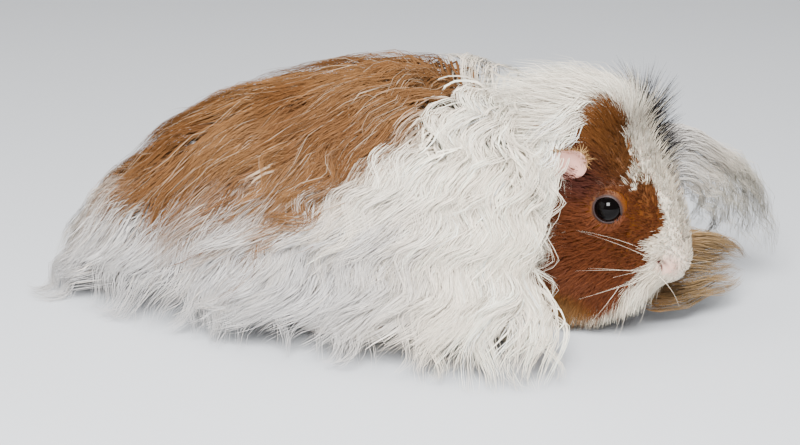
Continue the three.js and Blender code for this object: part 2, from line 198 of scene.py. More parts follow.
@dataclass(frozen=True)
class CoatForm:
    """The long coat's outer surface: a dome that falls from a parting to a hem on the floor."""

    bend: Bend
    parting: tuple[float, float] = (-52.0, 44.0)
    middle: float = 26.0
    train: float = 201.0
    chest: float = 77.0
    half_width: float = 84.0
    notch: float = 34.0
    notch_half_width: float = 26.0
    ridge: tuple[tuple[float, ...], tuple[float, ...]] = ((-52, -20, 20, 44), (104, 111, 106, 102))

    def back(self, x: Array) -> Array:
        """The coat's height along the parting."""
        return through(*self.ridge)(x)

    def hem(self, turn: Array) -> tuple[Array, Array, Array]:
        """The hem on the floor.

        Args:
            turn: As in point.

        Returns:
            How far forward and to the left it lies, and how far forward it faces, from -1 to 1.
        """
        forward, left = -np.cos(TURN * turn), -np.sin(TURN * turn)
        square = np.where(forward > 0, 3.1, 1.45)
        reach = np.where(forward > 0, self.chest, self.train)
        y = self.half_width * np.sign(left) * np.abs(left) ** (2 / square)
        notch = np.exp(-((y / self.notch_half_width) ** 2)) * np.maximum(forward, 0) * self.notch
        x = self.middle + reach * np.sign(forward) * np.abs(forward) ** (2 / square) - notch
        return x, y, forward

    def point(self, turn: Array, fall: Array, lift: Array | float = 0.0) -> Array:
        """The surface at a turn from the tail past the right side and a fall from the parting.

        Args:
            turn: 0 at the tail, 0.25 at the right side, 0.5 at the chest, 0.75 at the left.
            fall: 0 at the parting and 1 at the hem. More than 1 lies out along the floor.
            lift: Clear height over the floor beyond the hem.

        Returns:
            Places in the model's frame, in millimetres.
        """
        hem_x, hem_y, forward = self.hem(turn)
        start = sum(self.parting) / 2 + (self.parting[1] - self.parting[0]) / 2 * forward
        endwise = forward**2
        roundness = lerp(2.35, np.where(forward > 0, 2.3, 1.62), endwise)
        flare = lerp(0.14, np.where(forward > 0, 0.46, 0.05), endwise)
        inside = np.clip(fall, 0, 1)
        angle = inside * np.pi / 2
        out = (1 - flare) * np.sin(angle) ** (2 / roundness) + flare * inside**6
        out = out + np.maximum(fall - 1, 0) * 1.1
        height = self.back(start) * np.maximum(np.cos(angle), 0) ** (2 / roundness)
        height = np.maximum(height, lift)
        return self.bend.place(start + (hem_x - start) * out, hem_y * out, height)


@dataclass(frozen=True)
class BodyForm:
    """The body under the coat, a full rounded form on its belly."""

    bend: Bend
    centre: tuple[float, float] = (-28.0, 49.0)
    length: float = 78.0
    width: float = 45.0
    height: float = 47.0
    square: float = 2.5

    def point(self, turn: Array, drop: Array) -> Array:
        """The skin under the coat.

        Args:
            turn: As the coat's form has it.
            drop: 0 at the back and 1 at the belly.

        Returns:
            Places in the model's frame, in millimetres.
        """
        power = 2 / self.square
        forward, left = powered(-np.cos(TURN * turn), power), powered(-np.sin(TURN * turn), power)
        out, up = powered(np.sin(np.pi * drop), power), powered(np.cos(np.pi * drop), power)
        x, z = self.centre[0] + self.length * forward * out, self.centre[1] + self.height * up
        return self.bend.place(x, self.width * left * out, z)


@dataclass(frozen=True)
class HeadForm:
    """The furred head's outer surface, given from the point between the eyes."""

    bend: Bend
    x: float = 82.0
    height: float = 62.5
    pitch: float = math.radians(24)
    square: float = 2.25
    rear: float = -51.0
    tip: float = 37.5
    eye: tuple[float, float, float] = (2.4, 20.3, 0.8)
    eye_radius: float = 5.9
    nostril: tuple[float, float, float] = (32.4, 9.2, -13.0)
    stations: tuple[float, ...] = (-46, -28, -12, 2, 14, 25, 33)
    half_widths: tuple[float, ...] = (22, 31, 30, 25.5, 20.5, 15, 10.5)
    tops: tuple[float, ...] = (20, 37, 38, 28, 18.5, 8, -2)
    bottoms: tuple[float, ...] = (-26, -44, -56, -58, -49, -34, -25)
    widest: tuple[float, ...] = (-4, -8, -14, -16, -16, -16, -14)
    closes: tuple[float, float] = (-36.0, 26.0)
    fur_stations: tuple[float, ...] = (-51, -30, -12, 4, 18, 28, 34, 37.5)
    fur_depths: tuple[float, ...] = (11, 9, 6.5, 4.5, 3.0, 1.8, 1.0, 0.6)

    @property
    def middle(self) -> Array:
        """The point between the eyes, in the model's frame."""
        return self.bend.place(np.array(self.x), np.array(0.0), np.array(self.height))

    def eye_of(self, side: Side) -> Array:
        """The middle of a side's eye."""
        return np.array(self.eye) * [1, side.value, 1]

    def section(self, x: Array) -> tuple[Array, Array, Array, Array]:
        """A cross-section of the head.

        Args:
            x: How far forward it is cut.

        Returns:
            Its half width, its top and bottom, and the level where it is widest.
        """
        rows = (self.half_widths, self.tops, self.bottoms, self.widest)
        half, top, bottom, wide = [through(self.stations, row)(x) for row in rows]
        rear, fore = self.closes
        ahead = np.clip((x - fore) / (self.tip - fore), 0, 1)
        behind = np.clip((rear - x) / (rear - self.rear), 0, 1)
        close = np.sqrt(np.maximum(1 - ahead**2.2, 0)) * np.sqrt(np.maximum(1 - behind**2.2, 0))
        return half * close, wide + (top - wide) * close, wide + (bottom - wide) * close, wide

    def local(self, turn: Array, along: Array, depth: Array | float = 0.0) -> Array:
        """The surface before the head is bowed and turned.

        Args:
            turn: 0 at the left, 0.25 at the top, 0.5 at the right and 0.75 under the chin.
            along: 0 at the back of the head and 1 at the tip of the nose.
            depth: How far inside the surface.

        Returns:
            Places from the point between the eyes, in millimetres.
        """
        x = lerp(self.rear, self.tip, (1 - np.cos(np.pi * np.clip(along, 0, 1))) / 2)
        half, top, bottom, wide = self.section(x)
        angle = TURN * turn
        across, up = powered(np.cos(angle), 2 / self.square), powered(np.sin(angle), 2 / self.square)
        inset = np.minimum(depth, 0.8 * half)
        reach = np.where(up > 0, top - wide, wide - bottom)
        shrink = 1 - depth * 0.6 / 44
        height = wide + np.maximum(reach - inset, 0.2 * reach) * up
        return spots(x * shrink, (half - inset) * across, height)

    def place(self, local: Array) -> Array:
        """Takes points given from between the eyes to their places in the model's frame."""
        x, z = spun(local[..., 0], local[..., 2], -self.pitch)
        return self.level(spots(x, local[..., 1], z))

    def level(self, local: Array) -> Array:
        """The same for points that are already bowed, level with the floor."""
        return self.middle + spots(*spun(local[..., 0], local[..., 1], -self.bend.turn), local[..., 2])

    def point(self, turn: Array, along: Array, depth: Array | float = 0.0) -> Array:
        """The surface in the model's frame."""
        return self.place(self.local(turn, along, depth))

    def back(self, place: Array) -> Array:
        """Takes places in the model's frame back to places before the head is bowed and turned.

        Args:
            place: Places in the model's frame.

        Returns:
            Places from the point between the eyes.
        """
        off = place - self.middle
        x, y = spun(off[..., 0], off[..., 1], self.bend.turn)
        x, z = spun(x, off[..., 2], self.pitch)
        return spots(x, y, z)

    def off_eye(self, local: Array) -> tuple[Array, Array]:
        """How far places are from the eye of their side, and the way from it to them.

        Args:
            local: Places given from the point between the eyes.

        Returns:
            Distances, narrower across the head, and directions of length one.
        """
        side = np.where(local[..., 1] < 0, -1, 1)
        away = (local - spots(self.eye[0], side * self.eye[1], self.eye[2])) * [1.0, 0.4, 1.0]
        return np.linalg.norm(away, axis=-1), unit(away)

    def off_nostril(self, local: Array) -> Array:
        """How far places are from the nostril of their side.

        Args:
            local: Places given from the point between the eyes.

        Returns:
            Distances in millimetres.
        """
        side = np.sign(local[..., 1])
        away = local - spots(self.nostril[0], side * self.nostril[1], self.nostril[2])
        return np.linalg.norm(away, axis=-1)

    def under(self, local: Array) -> Array:
        """How far places are under the chin, from 0 to 1."""
        x, z = local[..., 0], local[..., 2]
        return (1 - step(z - self.section(x)[2], 3, 15)) * (1 - step(x, 27, 35))

    def slit(self, local: Array) -> Array:
        """How deep in the slit of a nostril places lie, from 0 to 1.

        Args:
            local: Places given from the point between the eyes.

        Returns:
            A share for each place.
        """
        y, z = np.abs(local[..., 1]) - self.nostril[1], local[..., 2] - self.nostril[2]
        down, across = z * 0.8 + y * 0.6, y * 0.8 - z * 0.6
        across = across - 0.12 * down**2
        return np.exp(-((down / 2.7) ** 2) - (across / 0.9) ** 2) * (local[..., 0] > 24)

    def pelt(self, local: Array) -> Array:
        """The depth of the fur over the skin, from places on its surface."""
        deep = through(self.fur_stations, self.fur_depths)(local[..., 0])
        return lerp(1.2, deep, step(self.off_eye(local)[0], 6.0, 14.0))

    def skin(self, turn: Array, along: Array) -> Array:
        """The skin of the head under its fur, in the model's frame."""
        return self.point(turn, along, self.pelt(self.local(turn, along)))


BEND = Bend()
COAT = CoatForm(BEND)
BODY = BodyForm(BEND)
HEAD = HeadForm(BEND)


# ---- Markings --------------------------------------------------------------------------------


def drift(a: Array, b: Array, scale: float, seed: int) -> Array:
    """A smooth value that wanders over two coordinates.

    Args:
        a: The first coordinate.
        b: The second.
        scale: How quickly it wanders, in radians for each unit.
        seed: For the chance in it.

    Returns:
        Values from about -1 to 1.
    """
    rng = np.random.default_rng(seed)
    total = 0 * a
    for octave in range(5):
        turn, phase = rng.uniform(0, 2 * np.pi, 2)
        wave = scale * 1.55**octave
        total = total + np.sin(wave * (a * np.cos(turn) + b * np.sin(turn)) + phase) / 1.25**octave
    return total / 2.2


def patch(
    a: Array, b: Array, centre: tuple[float, float], radii: tuple[float, float], soft: float
) -> Array:
    """A soft-edged ellipse: 1 inside, 0 outside."""
    reach = np.hypot((a - centre[0]) / radii[0], (b - centre[1]) / radii[1])
    return 1 - step(reach, 1 - soft, 1 + soft)


@dataclass(frozen=True)
class Markings:
    """Where each colour lies on the body and the head, for the hair and the skin alike."""

    def body(self, turn: Array, fall: Array) -> Array:
        """The colour of the long coat.

        Args:
            turn: Each place's turn, as the coat's form has it, from 0 to 1.
            fall: Each place's fall from the parting.

        Returns:
            Linear colours.
        """
        beside = np.where(turn > 0.5, 1 - turn, turn)
        edge = through(
            [0, 0.1, 0.15, 0.168, 0.19, 0.21, 0.235, 0.26, 0.28],
            [0.66, 0.745, 0.73, 0.68, 0.57, 0.47, 0.33, 0.11, -0.2],
        )(beside)
        ragged = 0.05 * drift(turn * 300, fall * 60, 0.35, 3)
        gold = 1 - step(fall + ragged - edge, -0.05, 0.06)
        low = step(fall + ragged, 0.55, 0.85) * step(-beside, -0.27, -0.17)
        pale = np.clip(0.5 + 0.6 * drift(turn * 160, fall * 25, 0.5, 8), 0, 1)[..., None]
        white = lerp(Tone.WHITE.rgb, Tone.CREAM.rgb, 0.35 * pale)
        white = lerp(white, Tone.ASH.rgb, (0.95 * low)[..., None])
        tan = lerp(Tone.GOLD.rgb, Tone.PALE_GOLD.rgb, 0.45 * pale)
        return lerp(white, tan, gold[..., None])

    def rust(self, local: Array) -> Array:
        """How surely the fur of the head is rust there, from 0 to 1.

        Args:
            local: Places given from the point between the eyes.

        Returns:
            A share for each place.
        """
        x, y, z = local[..., 0], local[..., 1], local[..., 2]
        a, b = x - 2.5 + 1.3 * drift(x, z, 0.6, 5), z - 1.5 + 1.2 * drift(z, x, 0.5, 6)
        return step(np.abs(y), 7, 12) * np.maximum.reduce([
            patch(a, b, (6, -21), (17, 24), 0.12),
            patch(a, b, (11, 2), (10.5, 14.5), 0.12),
            patch(a, b, (2, -44), (15, 17), 0.2),
            patch(a, b, (-8, -3), (17, 15), 0.15),
            patch(a, b, (-14, 20), (9.5, 15.5), 0.15),
            patch(a, b, (-7, 13), (10, 13), 0.15),
        ])

    def black(self, local: Array) -> Array:
        """How surely the fur of the crown is black there, from 0 to 1."""
        return patch(local[..., 0], local[..., 1], (-1, 13), (17, 9), 0.45) * step(local[..., 2], 12, 20)

    def head(self, local: Array, chance: Array | float = 0.5) -> Array:
        """The colour of the fur of the head.

        Args:
            local: Places before the head is bowed.
            chance: A draw from 0 to 1 for each hair, that decides between two mingled colours.

        Returns:
            Linear colours.
        """
        x, y, z = local[..., 0], local[..., 1], local[..., 2]
        dark = patch(x, z, (-12, 8), (11, 10), 0.6)
        pale = np.clip(0.5 + 0.6 * drift(x, y + z, 0.25, 9), 0, 1)[..., None]
        blaze = lerp(Tone.WHITE.rgb, Tone.CREAM.rgb, (0.35 + 0.4 * pale) * step(x, -15, 5)[..., None])
        warm = lerp(Tone.RUST.rgb, Tone.BUFF.rgb, (0.5 * step(-z, 40, 56))[..., None])
        warm = lerp(warm, Tone.GOLD.rgb, (0.65 * step(z, 6, 22))[..., None])
        warm = lerp(warm, Tone.DARK_RUST.rgb, (0.8 * dark)[..., None])
        warm = np.where((y > 0)[..., None], lerp(warm, Tone.GOLD.rgb, 0.4), warm)
        colour = np.where((self.rust(local) > 0.15 + 0.7 * chance)[..., None], warm, blaze)
        return np.where((self.black(local) > 0.25 + 0.75 * chance)[..., None], Tone.BLACK.rgb, colour)


MARKS = Markings()


# ---- Hair -------------------------------------------------------------------------------------


@dataclass
class Hairs:
    """Many hairs or fine tufts at once.

    Each has a row of rings along it: centres and outward directions (hairs, rings, 3), half
    widths (hairs, rings), tints (hairs, rings, 3), and its root's place on the skin's unwrap.
    flat is a hair's thickness for its width, and soft how far it is shaded as the coat's surface.
    """

    centres: Array
    outward: Array
    half: Array
    tints: Array
    roots: Array
    flat: float = 0.6
    soft: float = 0.72

    def mesh(self, name: str) -> bpy.types.Object:
        """One object of closed, three-sided, tapering hairs.

        Args:
            name: The piece's name.

        Returns:
            The object, with its colours in the attribute Tint and its unwrap in OFBake.
        """
        hairs, rings = self.half.shape
        centres = self.centres.copy()
        centres[..., 2] = np.maximum(centres[..., 2], 0.25 + self.half * 0.6)
        along = unit(np.gradient(centres, axis=1))
        side = unit(np.cross(self.outward, along))
        out = np.cross(along, side)
        corners = []
        for angle in np.radians([90, 210, 330]):
            offset = math.cos(angle) * side + math.sin(angle) * out * self.flat
            corners.append(centres + offset * self.half[..., None])
        points = np.stack(corners, axis=2).reshape(-1, 3) * MM
        ring = np.arange(hairs * rings).reshape(hairs, rings) * 3
        quads = []
        for j in range(3):
            low, high = ring[:, :-1], ring[:, 1:]
            quads.append(np.stack([low + j, low + (j + 1) % 3, high + (j + 1) % 3, high + j], axis=-1))
        quads = np.stack(quads, axis=2).reshape(-1, 4)
        root, tip = ring[:, 0], ring[:, -1]
        caps = np.concatenate([spots(root, root + 2, root + 1), spots(tip, tip + 1, tip + 2)])
        mesh = bpy.data.meshes.new(name)
        loops = np.concatenate([quads.ravel(), caps.ravel()])
        counts = np.concatenate([np.full(len(quads), 4), np.full(len(caps), 3)])
        mesh.vertices.add(len(points))
        mesh.vertices.foreach_set("co", points.astype(np.float32).ravel())
        mesh.loops.add(len(loops))
        mesh.loops.foreach_set("vertex_index", loops.astype(np.int32))
        mesh.polygons.add(len(counts))
        starts = np.concatenate([[0], np.cumsum(counts)[:-1]])
        mesh.polygons.foreach_set("loop_start", starts.astype(np.int32))
        mesh.polygons.foreach_set("use_smooth", np.ones(len(counts), bool))
        tint = mesh.color_attributes.new("Tint", "FLOAT_COLOR", "POINT")
        rgba = np.ones((len(points), 4), np.float32)
        rgba[:, :3] = np.repeat(self.tints.reshape(-1, 3), 3, axis=0)
        tint.data.foreach_set("color", rgba.ravel())
        self._unwrap(mesh, loops, len(quads), rings)
        mesh.update(calc_edges=True)
        mesh.validate()
        tube = unit(np.stack(corners, axis=2) - centres[:, :, None])
        normals = unit(lerp(tube, out[:, :, None], self.soft))
        mesh.normals_split_custom_set_from_vertices(normals.reshape(-1, 3).astype(np.float32))
        return shown(name, mesh)

    def _unwrap(self, mesh: bpy.types.Mesh, loops: Array, quads: int, rings: int) -> None:
        """Unwraps the hairs: each has a small patch at its root's place, and runs along Strand.

        Args:
            mesh: The hairs' mesh.
            loops: The vertex at each corner of its faces.
            quads: How many of its faces have four corners. They come first.
            rings: How many rings each hair has.
        """
        size = 0.003
        low, high = self.roots.min(0), self.roots.max(0)
        spot = 0.01 + 0.98 * (self.roots - low) / np.maximum(high - low, 1e-6)
        vertex, corner = loops // 3, loops % 3
        across = corner / 3
        wrap = np.tile([0, 1, 1, 0], quads).astype(bool)
        across[: 4 * quads] = np.where(wrap & (corner[: 4 * quads] == 0), 1, across[: 4 * quads])
        share = np.stack([across - 0.5, (vertex % rings) / (rings - 1) - 0.5], axis=-1)
        layer = mesh.uv_layers.new(name="OFBake")
        layer.data.foreach_set("uv", (spot[vertex // rings] + size * share).astype(np.float32).ravel())
        steps = np.diff(self.centres, axis=1, prepend=self.centres[:, :1])
        run = np.linalg.norm(steps, axis=-1).cumsum(1).ravel()
        wide = (2 * self.half[:, 0])[vertex // rings]
        strand = np.stack([7.3 * (vertex // rings) + across * wide, run[vertex]], axis=-1)
        layer = mesh.uv_layers.new(name="Strand")
        layer.data.foreach_set("uv", strand.astype(np.float32).ravel())


def joined(groups: list[Hairs]) -> Hairs:
    """Several groups of hairs with equal rings as one.

    Args:
        groups: The groups.

    Returns:
        One group with all their hairs.
    """
    names = ("centres", "outward", "half", "tints", "roots")
    rows = [np.concatenate([getattr(group, name) for group in groups]) for name in names]
    return Hairs(*rows, groups[0].flat)


@dataclass(frozen=True)
class Lie:
    """How the hair of a region lies.

    Sizes are in millimetres. sweep is the angle from the steepest way down towards the tail,
    gather how far a lock's hairs close up at its tip, and ringlet the share of locks that curl.
    clump is how many locks draw together, and pull how far they do so at their tips.
    """

    locks: int
    hairs: int
    length: float
    width: float = 0.42
    spread: float = 5.0
    gather: float = 0.7
    wave: float = 1.6
    wave_length: float = 24.0
    frizz: float = 0.5
    sweep: float = 0.0
    layer: float = 4.0
    ringlet: float = 0.0
    rings: int = 9
    clump: int = 5
    pull: float = 0.75


def waved(
    centre: Array, outward: Array, side: Array, phase: Array, chief: Array, lie: Lie, deeper: float,
    rng: np.random.Generator,
) -> Array:
    """Waves the centre lines of locks from side to side and in and out.

    Args:
        centre: The locks' centre lines (locks, samples, 3).
        outward: The way out of the coat along them.
        side: The way across them.
        phase: How far along the wave each place is, in radians.
        chief: The lock that each lock goes with.
        lie: How this hair lies.
        deeper: How much deeper than the locks on top they lie, in millimetres.
        rng: For the chance in it.

    Returns:
        The waved centre lines.
    """
    count, samples = centre.shape[:2]
    t = np.linspace(0, 1, samples)[None]
    coil = phase + rng.normal(0, 0.22, (count, 1))
    swing = lie.wave * rng.uniform(0.7, 1.3, (count, 1))[chief] * step(t, 0.05, 0.4) * (0.6 + 0.5 * t)
    tight = step(t, 0.5, 0.75) * (rng.random((count, 1)) < lie.ringlet)[chief]
    coil, swing = coil + tight * (t - 0.5) * 6, swing + tight * 0.8
    layer = rng.uniform(-0.6, 1, (count, 1))[chief] * lie.layer * 0.5 + lie.layer * 0.2
    centre = centre + side * (swing * np.sin(coil))[..., None]
    return centre + outward * (swing * 0.55 * np.cos(coil) + 0.35 * swing - layer - deeper)[..., None]


def strands(
    centre: Array, outward: Array, side: Array, room: Array, colour: Array, roots: Array, lie: Lie,
    rng: np.random.Generator,
) -> Hairs:
    """Spreads the hairs of each lock about its centre line.

    Args:
        centre: The locks' centre lines (locks, samples, 3).
        outward: The way out of the coat along them.
        side: The way across them.
        room: How deep under its centre line each lock is rooted.
        colour: Each lock's colour.
        roots: Each lock's place on the skin's unwrap.
        lie: How this hair lies.
        rng: For the chance in it.

    Returns:
        The hairs of all the locks.
    """
    samples, count = centre.shape[1], len(centre) * lie.hairs
    lock = np.repeat(np.arange(len(centre)), lie.hairs)
    first, last = rng.uniform(0, 0.16, count), rng.uniform(0.68, 1.0, count)
    share = np.linspace(0, 1, lie.rings)[None] ** 0.9
    at = (first[:, None] + (last - first)[:, None] * share) * (samples - 1)
    low = np.minimum(at.astype(int), samples - 2)
    part, rows = (at - low)[..., None], lock[:, None]
    middle = lerp(centre[rows, low], centre[rows, low + 1], part)
    out, across = unit(lerp(outward[rows, low], outward[rows, low + 1], part)), side[rows, low]
    off = rng.normal(0, 1, (count, 2)) * [lie.spread * 0.5, 0.7]
    closing = 1 - lie.gather * share**0.8
    wild = lie.frizz * np.where(rng.random((count, 1, 1)) < 0.08, 2.6, 1.0)
    stray = np.cumsum(rng.normal(0, 1, (count, lie.rings, 2)) * wild, axis=1) * 0.5
    shift = off[:, None] * closing[..., None] + stray * share[..., None] * [1.0, 0.7]
    sink = room[lock][:, None] * (1 - step(share, -0.02, 0.34)) * 0.9
    centres = middle + across * shift[..., :1] + out * (shift[..., 1:] - sink[..., None])
    taper = (1 - share**2.4) * 0.9 + 0.1
    half = 0.5 * lie.width * rng.uniform(0.6, 1.35, (count, 1)) * taper * (0.55 + 0.45 * step(share, 0, 0.2))
    vivid = np.clip((colour[:, :1] - colour[:, 2:]) * 3, 0.4, 1)
    colour = (colour * (1 + 0.12 * vivid * rng.normal(0, 1, (len(colour), 1))))[lock]
    colour = colour * (1 + 0.14 * vivid[lock] * rng.normal(0, 1, (count, 1)))
    colour = np.where(rng.random((count, 1)) < 0.07, lerp(colour, Tone.CREAM.rgb, 0.3), colour)
    # Each hair is darker towards its root, down to 0.68 of its colour: painted shade of the coat's depth
    # over the roots.
    tints = np.clip(colour[:, None] * (0.68 + 0.34 * step(share, 0.0, 0.6))[..., None], 0.01, 0.93)
    return Hairs(centres, out, half, tints, roots[lock] + rng.normal(0, 0.006, (count, 2)))


@dataclass(frozen=True)
class LongCoat:
    """The long coat: locks that are rooted on the body and fall over its outer form."""

    form: CoatForm
    body: BodyForm
    samples: int = 22
    deepest: float = 26.0

    def _run(
        self, turn: Array, fall: Array, sweep: Array, length: Array, reach: Array
    ) -> tuple[Array, Array]:
        """Walks each lock over the coat's form.

        Args:
            turn: Each lock's turn at its root.
            fall: Each lock's fall at its root.
            sweep: The angle from the steepest way down at which each lies.
            length: Each lock's length.
            reach: The fall where each has to end, at most.

        Returns:
            The turns and the falls along each lock.
        """
        scale = np.ones_like(length)
        for _ in range(2):
            turns, falls = [turn], [fall]
            for _ in range(self.samples - 1):
                u, v = turns[-1], falls[-1]
                here = self.form.point(u, v)
                down = np.linalg.norm(self.form.point(u, v + SMALL) - here, axis=-1) / SMALL
                round_ = np.linalg.norm(self.form.point(u + SMALL, v) - here, axis=-1) / SMALL
                pace = scale * length / (self.samples - 1)
                turned = lerp(math.radians(68), sweep, step(v, -0.02, 0.4))
                tailward = np.clip(-4 * np.sin(TURN * u), -1, 1)
                turns.append(u + tailward * pace * np.sin(turned) / np.maximum(round_, 25))
                falls.append(v + pace * np.cos(turned) / np.maximum(down, 40))
            over = np.maximum(falls[-1] - fall, SMALL)
            scale = scale * np.minimum(1, np.maximum(reach - fall, 0.02) / over)
        return np.stack(turns, axis=1), np.stack(falls, axis=1)

    def grow(self, turn: Array, fall: Array, lie: Lie, seed: int, deeper: float = 0.0) -> Hairs:
        """Grows locks at the given roots.

        Args:
            turn: Each lock's turn at its root.
            fall: Each lock's fall at its root.
            lie: How this hair lies.
            seed: For the chance in it.
            deeper: How much deeper than the locks on top they lie.

        Returns:
            The hairs of all the locks.
        """
        rng = np.random.default_rng(seed)
        count = len(turn)
        start = self.form.point(turn, fall)
        chiefs = max(count // lie.clump, 1)
        chief = np.linalg.norm(start[:, None] - start[None, :chiefs], axis=-1).argmin(axis=1)
        length = lie.length * rng.uniform(0.75, 1.2, count)[chief] * rng.uniform(0.9, 1.1, count)
        beside = np.minimum(turn % 1, 1 - turn % 1)
        forward = math.radians(24) + math.radians(34) * step(fall, 0.35, 0.8)
        sweep = math.radians(lie.sweep) - forward * step(beside, 0.33, 0.44)
        sweep = sweep + 0.2 * drift(turn * 60, fall * 12, 0.4, 70) + rng.normal(0, 0.05, count)
        reach = 1 + rng.uniform(-0.02, 0.07, count) - 0.03 * deeper
        reach = reach + rng.uniform(0, 0.07, count) * ((beside < 0.14) | (beside > 0.3)) * (deeper == 0)
        turns, falls = self._run(turn, fall, sweep, length, reach)
        lift = rng.uniform(0.6, 5.0, count)[:, None]
        draw = lie.pull * np.linspace(0, 1, self.samples)[None] ** 1.4
        turns, falls = lerp(turns, turns[chief], draw), lerp(falls, falls[chief], 0.5 * draw)
        centre = self.form.point(turns, falls, lift)
        beyond = self.form.point(turns + SMALL, falls, lift)
        along = unit(np.gradient(centre, axis=1))
        outward = unit(np.cross(beyond - centre, along))
        outward = np.where(outward[..., 2:] < -0.2, -outward, outward)
        side = np.cross(along, outward)
        offset = 3.2 * drift(turn * 40, fall * 6, 0.4, 71) + rng.normal(0, 0.4, count)
        phase = TURN * 118 * falls / lie.wave_length + offset[chief][:, None]
        centre = waved(centre, outward, side, phase, chief, lie, deeper, rng)
        skin = self.body.point(turn, 0.08 + 0.62 * fall)
        room = np.linalg.norm(self.form.point(turn, fall) - skin, axis=-1)
        room = room * (0.25 + 0.75 * step(fall, 0, 0.25))
        seen = int(0.55 * self.samples)
        colour = MARKS.body(turns[:, seen] % 1, falls[:, seen])
        free = ~self._before_face(centre).any(axis=1)
        room, roots = np.minimum(room, self.deepest), np.stack([turn, fall], axis=-1)
        rows = (centre, outward, side, room, colour, roots)
        return strands(*[row[free] for row in rows], lie, rng)

    def _before_face(self, centre: Array) -> Array:
        """Whether places lie beside the face, where no coat hangs.

        Args:
            centre: Places in the model's frame, in millimetres.

        Returns:
            True for each place that does.
        """
        x, y, z = np.moveaxis(HEAD.back(centre), -1, 0)
        edge = through([-52, -44, -34, -20, -8, 5, 24], [17, 3, -12, -16, -7, -6, -12])(z)
        return (x > edge) & (z > -52) & (z < 34) & (np.abs(y) < 46)


def scattered(
    form: Form, count: int, turns: tuple[float, float], falls: tuple[float, float],
    rng: np.random.Generator, weight: Form | None = None,
) -> tuple[Array, Array]:
    """Places spread evenly by area over a stretch of a form.

    Args:
        form: Gives the surface at a turn and a fall.
        count: How many places.
        turns: The stretch's turns.
        falls: The stretch's falls.
        rng: For the chance in it.
        weight: How thickly they lie, from 0 to 1, if not evenly.

    Returns:
        The places' turns and falls.
    """
    tries = count * 14
    turn, fall = rng.uniform(*turns, tries), rng.uniform(*falls, tries)
    here = form(turn, fall)
    around, down = form(turn + SMALL, fall) - here, form(turn, fall + SMALL) - here
    area = np.linalg.norm(np.cross(around, down), axis=-1)
    chance = area / np.quantile(area, 0.98)
    if weight is not None:
        chance = chance * weight(turn, fall)
    keep = rng.random(tries) < chance
    return turn[keep][:count], fall[keep][:count]


@dataclass(frozen=True)
class Region:
    """A stretch of long hair that is one piece, with a mat of broad tufts under it if matted."""

    name: str
    turns: tuple[float, float]
    falls: tuple[float, float]
    lie: Lie
    slot: str = "white_fur"
    matted: bool = True


@dataclass(frozen=True)
class Coat:
    """The long coat, region by region: a mat of broad tufts with finer locks over it."""

    long: LongCoat
    mat_share: float = 2.2
    mat_width: float = 1.4
    mat_depth: float = 3.0

    def build(self) -> Pieces:
        """Grows every region and returns its pieces with their slots.

        Returns:
            The pieces.
        """
        pieces = []
        for i, region in enumerate(REGIONS):
            groups = []
            locks = int(self.mat_share * region.lie.locks)
            mat = replace(
                region.lie, locks=locks, hairs=1, width=self.mat_width, spread=2.0, frizz=0.15, pull=0.2
            )
            under = [(mat, self.mat_depth)] if region.matted else []
            for lie, deeper in [*under, (region.lie, 0.0)]:
                rng = np.random.default_rng(SEED + 10 * i + int(deeper > 0))
                turn, fall = scattered(COAT.point, lie.locks, region.turns, region.falls, rng)
                groups.append(self.long.grow(turn, fall, lie, SEED + 10 * i + 5, deeper))
            pieces.append((joined(groups).mesh(region.name), region.slot))
        return pieces


BACK = Lie(
    locks=250, hairs=13, length=52, width=0.29, sweep=40, spread=8, gather=0.5, wave=1.7, layer=3,
    frizz=0.9, rings=7, pull=0.5,
)
RUMP = replace(BACK, locks=170, hairs=12, length=56, sweep=14)
FLANK = Lie(
    locks=180, hairs=12, length=66, width=0.29, sweep=26, spread=6, wave=4.6, wave_length=27, gather=0.7,
    layer=5, frizz=0.7, ringlet=0.15, rings=10,
)
COLLAR = replace(FLANK, locks=235, length=68, sweep=8)
CURLS = Lie(
    locks=120, hairs=11, length=58, width=0.27, sweep=20, spread=4.5, wave=4.6, wave_length=17,
    gather=0.8, layer=-3, frizz=0.7, rings=15, clump=2,
)
TRAIN = Lie(
    locks=180, hairs=12, length=66, width=0.26, sweep=14, spread=7, wave=3.2, layer=4, frizz=1.2, rings=7
)
NAPE = Lie(
    locks=132, hairs=12, length=44, width=0.28, spread=6, wave=2.4, wave_length=24, layer=2,
    ringlet=0.25, rings=10,
)
SHORT_COLLAR = replace(COLLAR, locks=56, length=36, wave=1.5, rings=7)

REGIONS = [
    Region("coat_rump", (-0.13, 0.13), (0.0, 0.66), RUMP, "tan_fur"),
    Region("coat_train", (-0.16, 0.17), (0.42, 0.86), TRAIN, "grey_fur"),
    Region("coat_back_right", (0.12, 0.27), (0.0, 0.62), BACK, "tan_fur"),
    Region("coat_back_left", (0.73, 0.88), (0.0, 0.62), replace(BACK, locks=100), "tan_fur"),
    Region("coat_flank_right", (0.14, 0.27), (0.42, 0.82), FLANK),
    Region("coat_flank_left", (0.73, 0.86), (0.42, 0.82), replace(FLANK, locks=75)),
    Region("collar_right", (0.25, 0.465), (0.0, 0.82), COLLAR),
    Region("collar_left", (0.535, 0.75), (0.0, 0.82), replace(COLLAR, locks=90)),
    Region("curls_right", (0.15, 0.462), (0.3, 0.80), CURLS, matted=False),
    Region("curls_left", (0.538, 0.85), (0.3, 0.80), replace(CURLS, locks=35), matted=False),
    Region("withers", (0.40, 0.60), (0.05, 0.28), SHORT_COLLAR),
]

NAPES = [
    Region("nape_right", (0.27, 0.50), (0.18, 0.435), NAPE),
    Region("nape_left", (0.0, 0.23), (0.18, 0.435), replace(NAPE, locks=45)),
]


@dataclass(frozen=True)
class ShortFur:
    """A stretch of the head's short fur that is one piece."""

    name: str
    turns: tuple[float, float]
    alongs: tuple[float, float]
    hairs: int
    rings: int
    width: float
    slot: str = "white_fur"


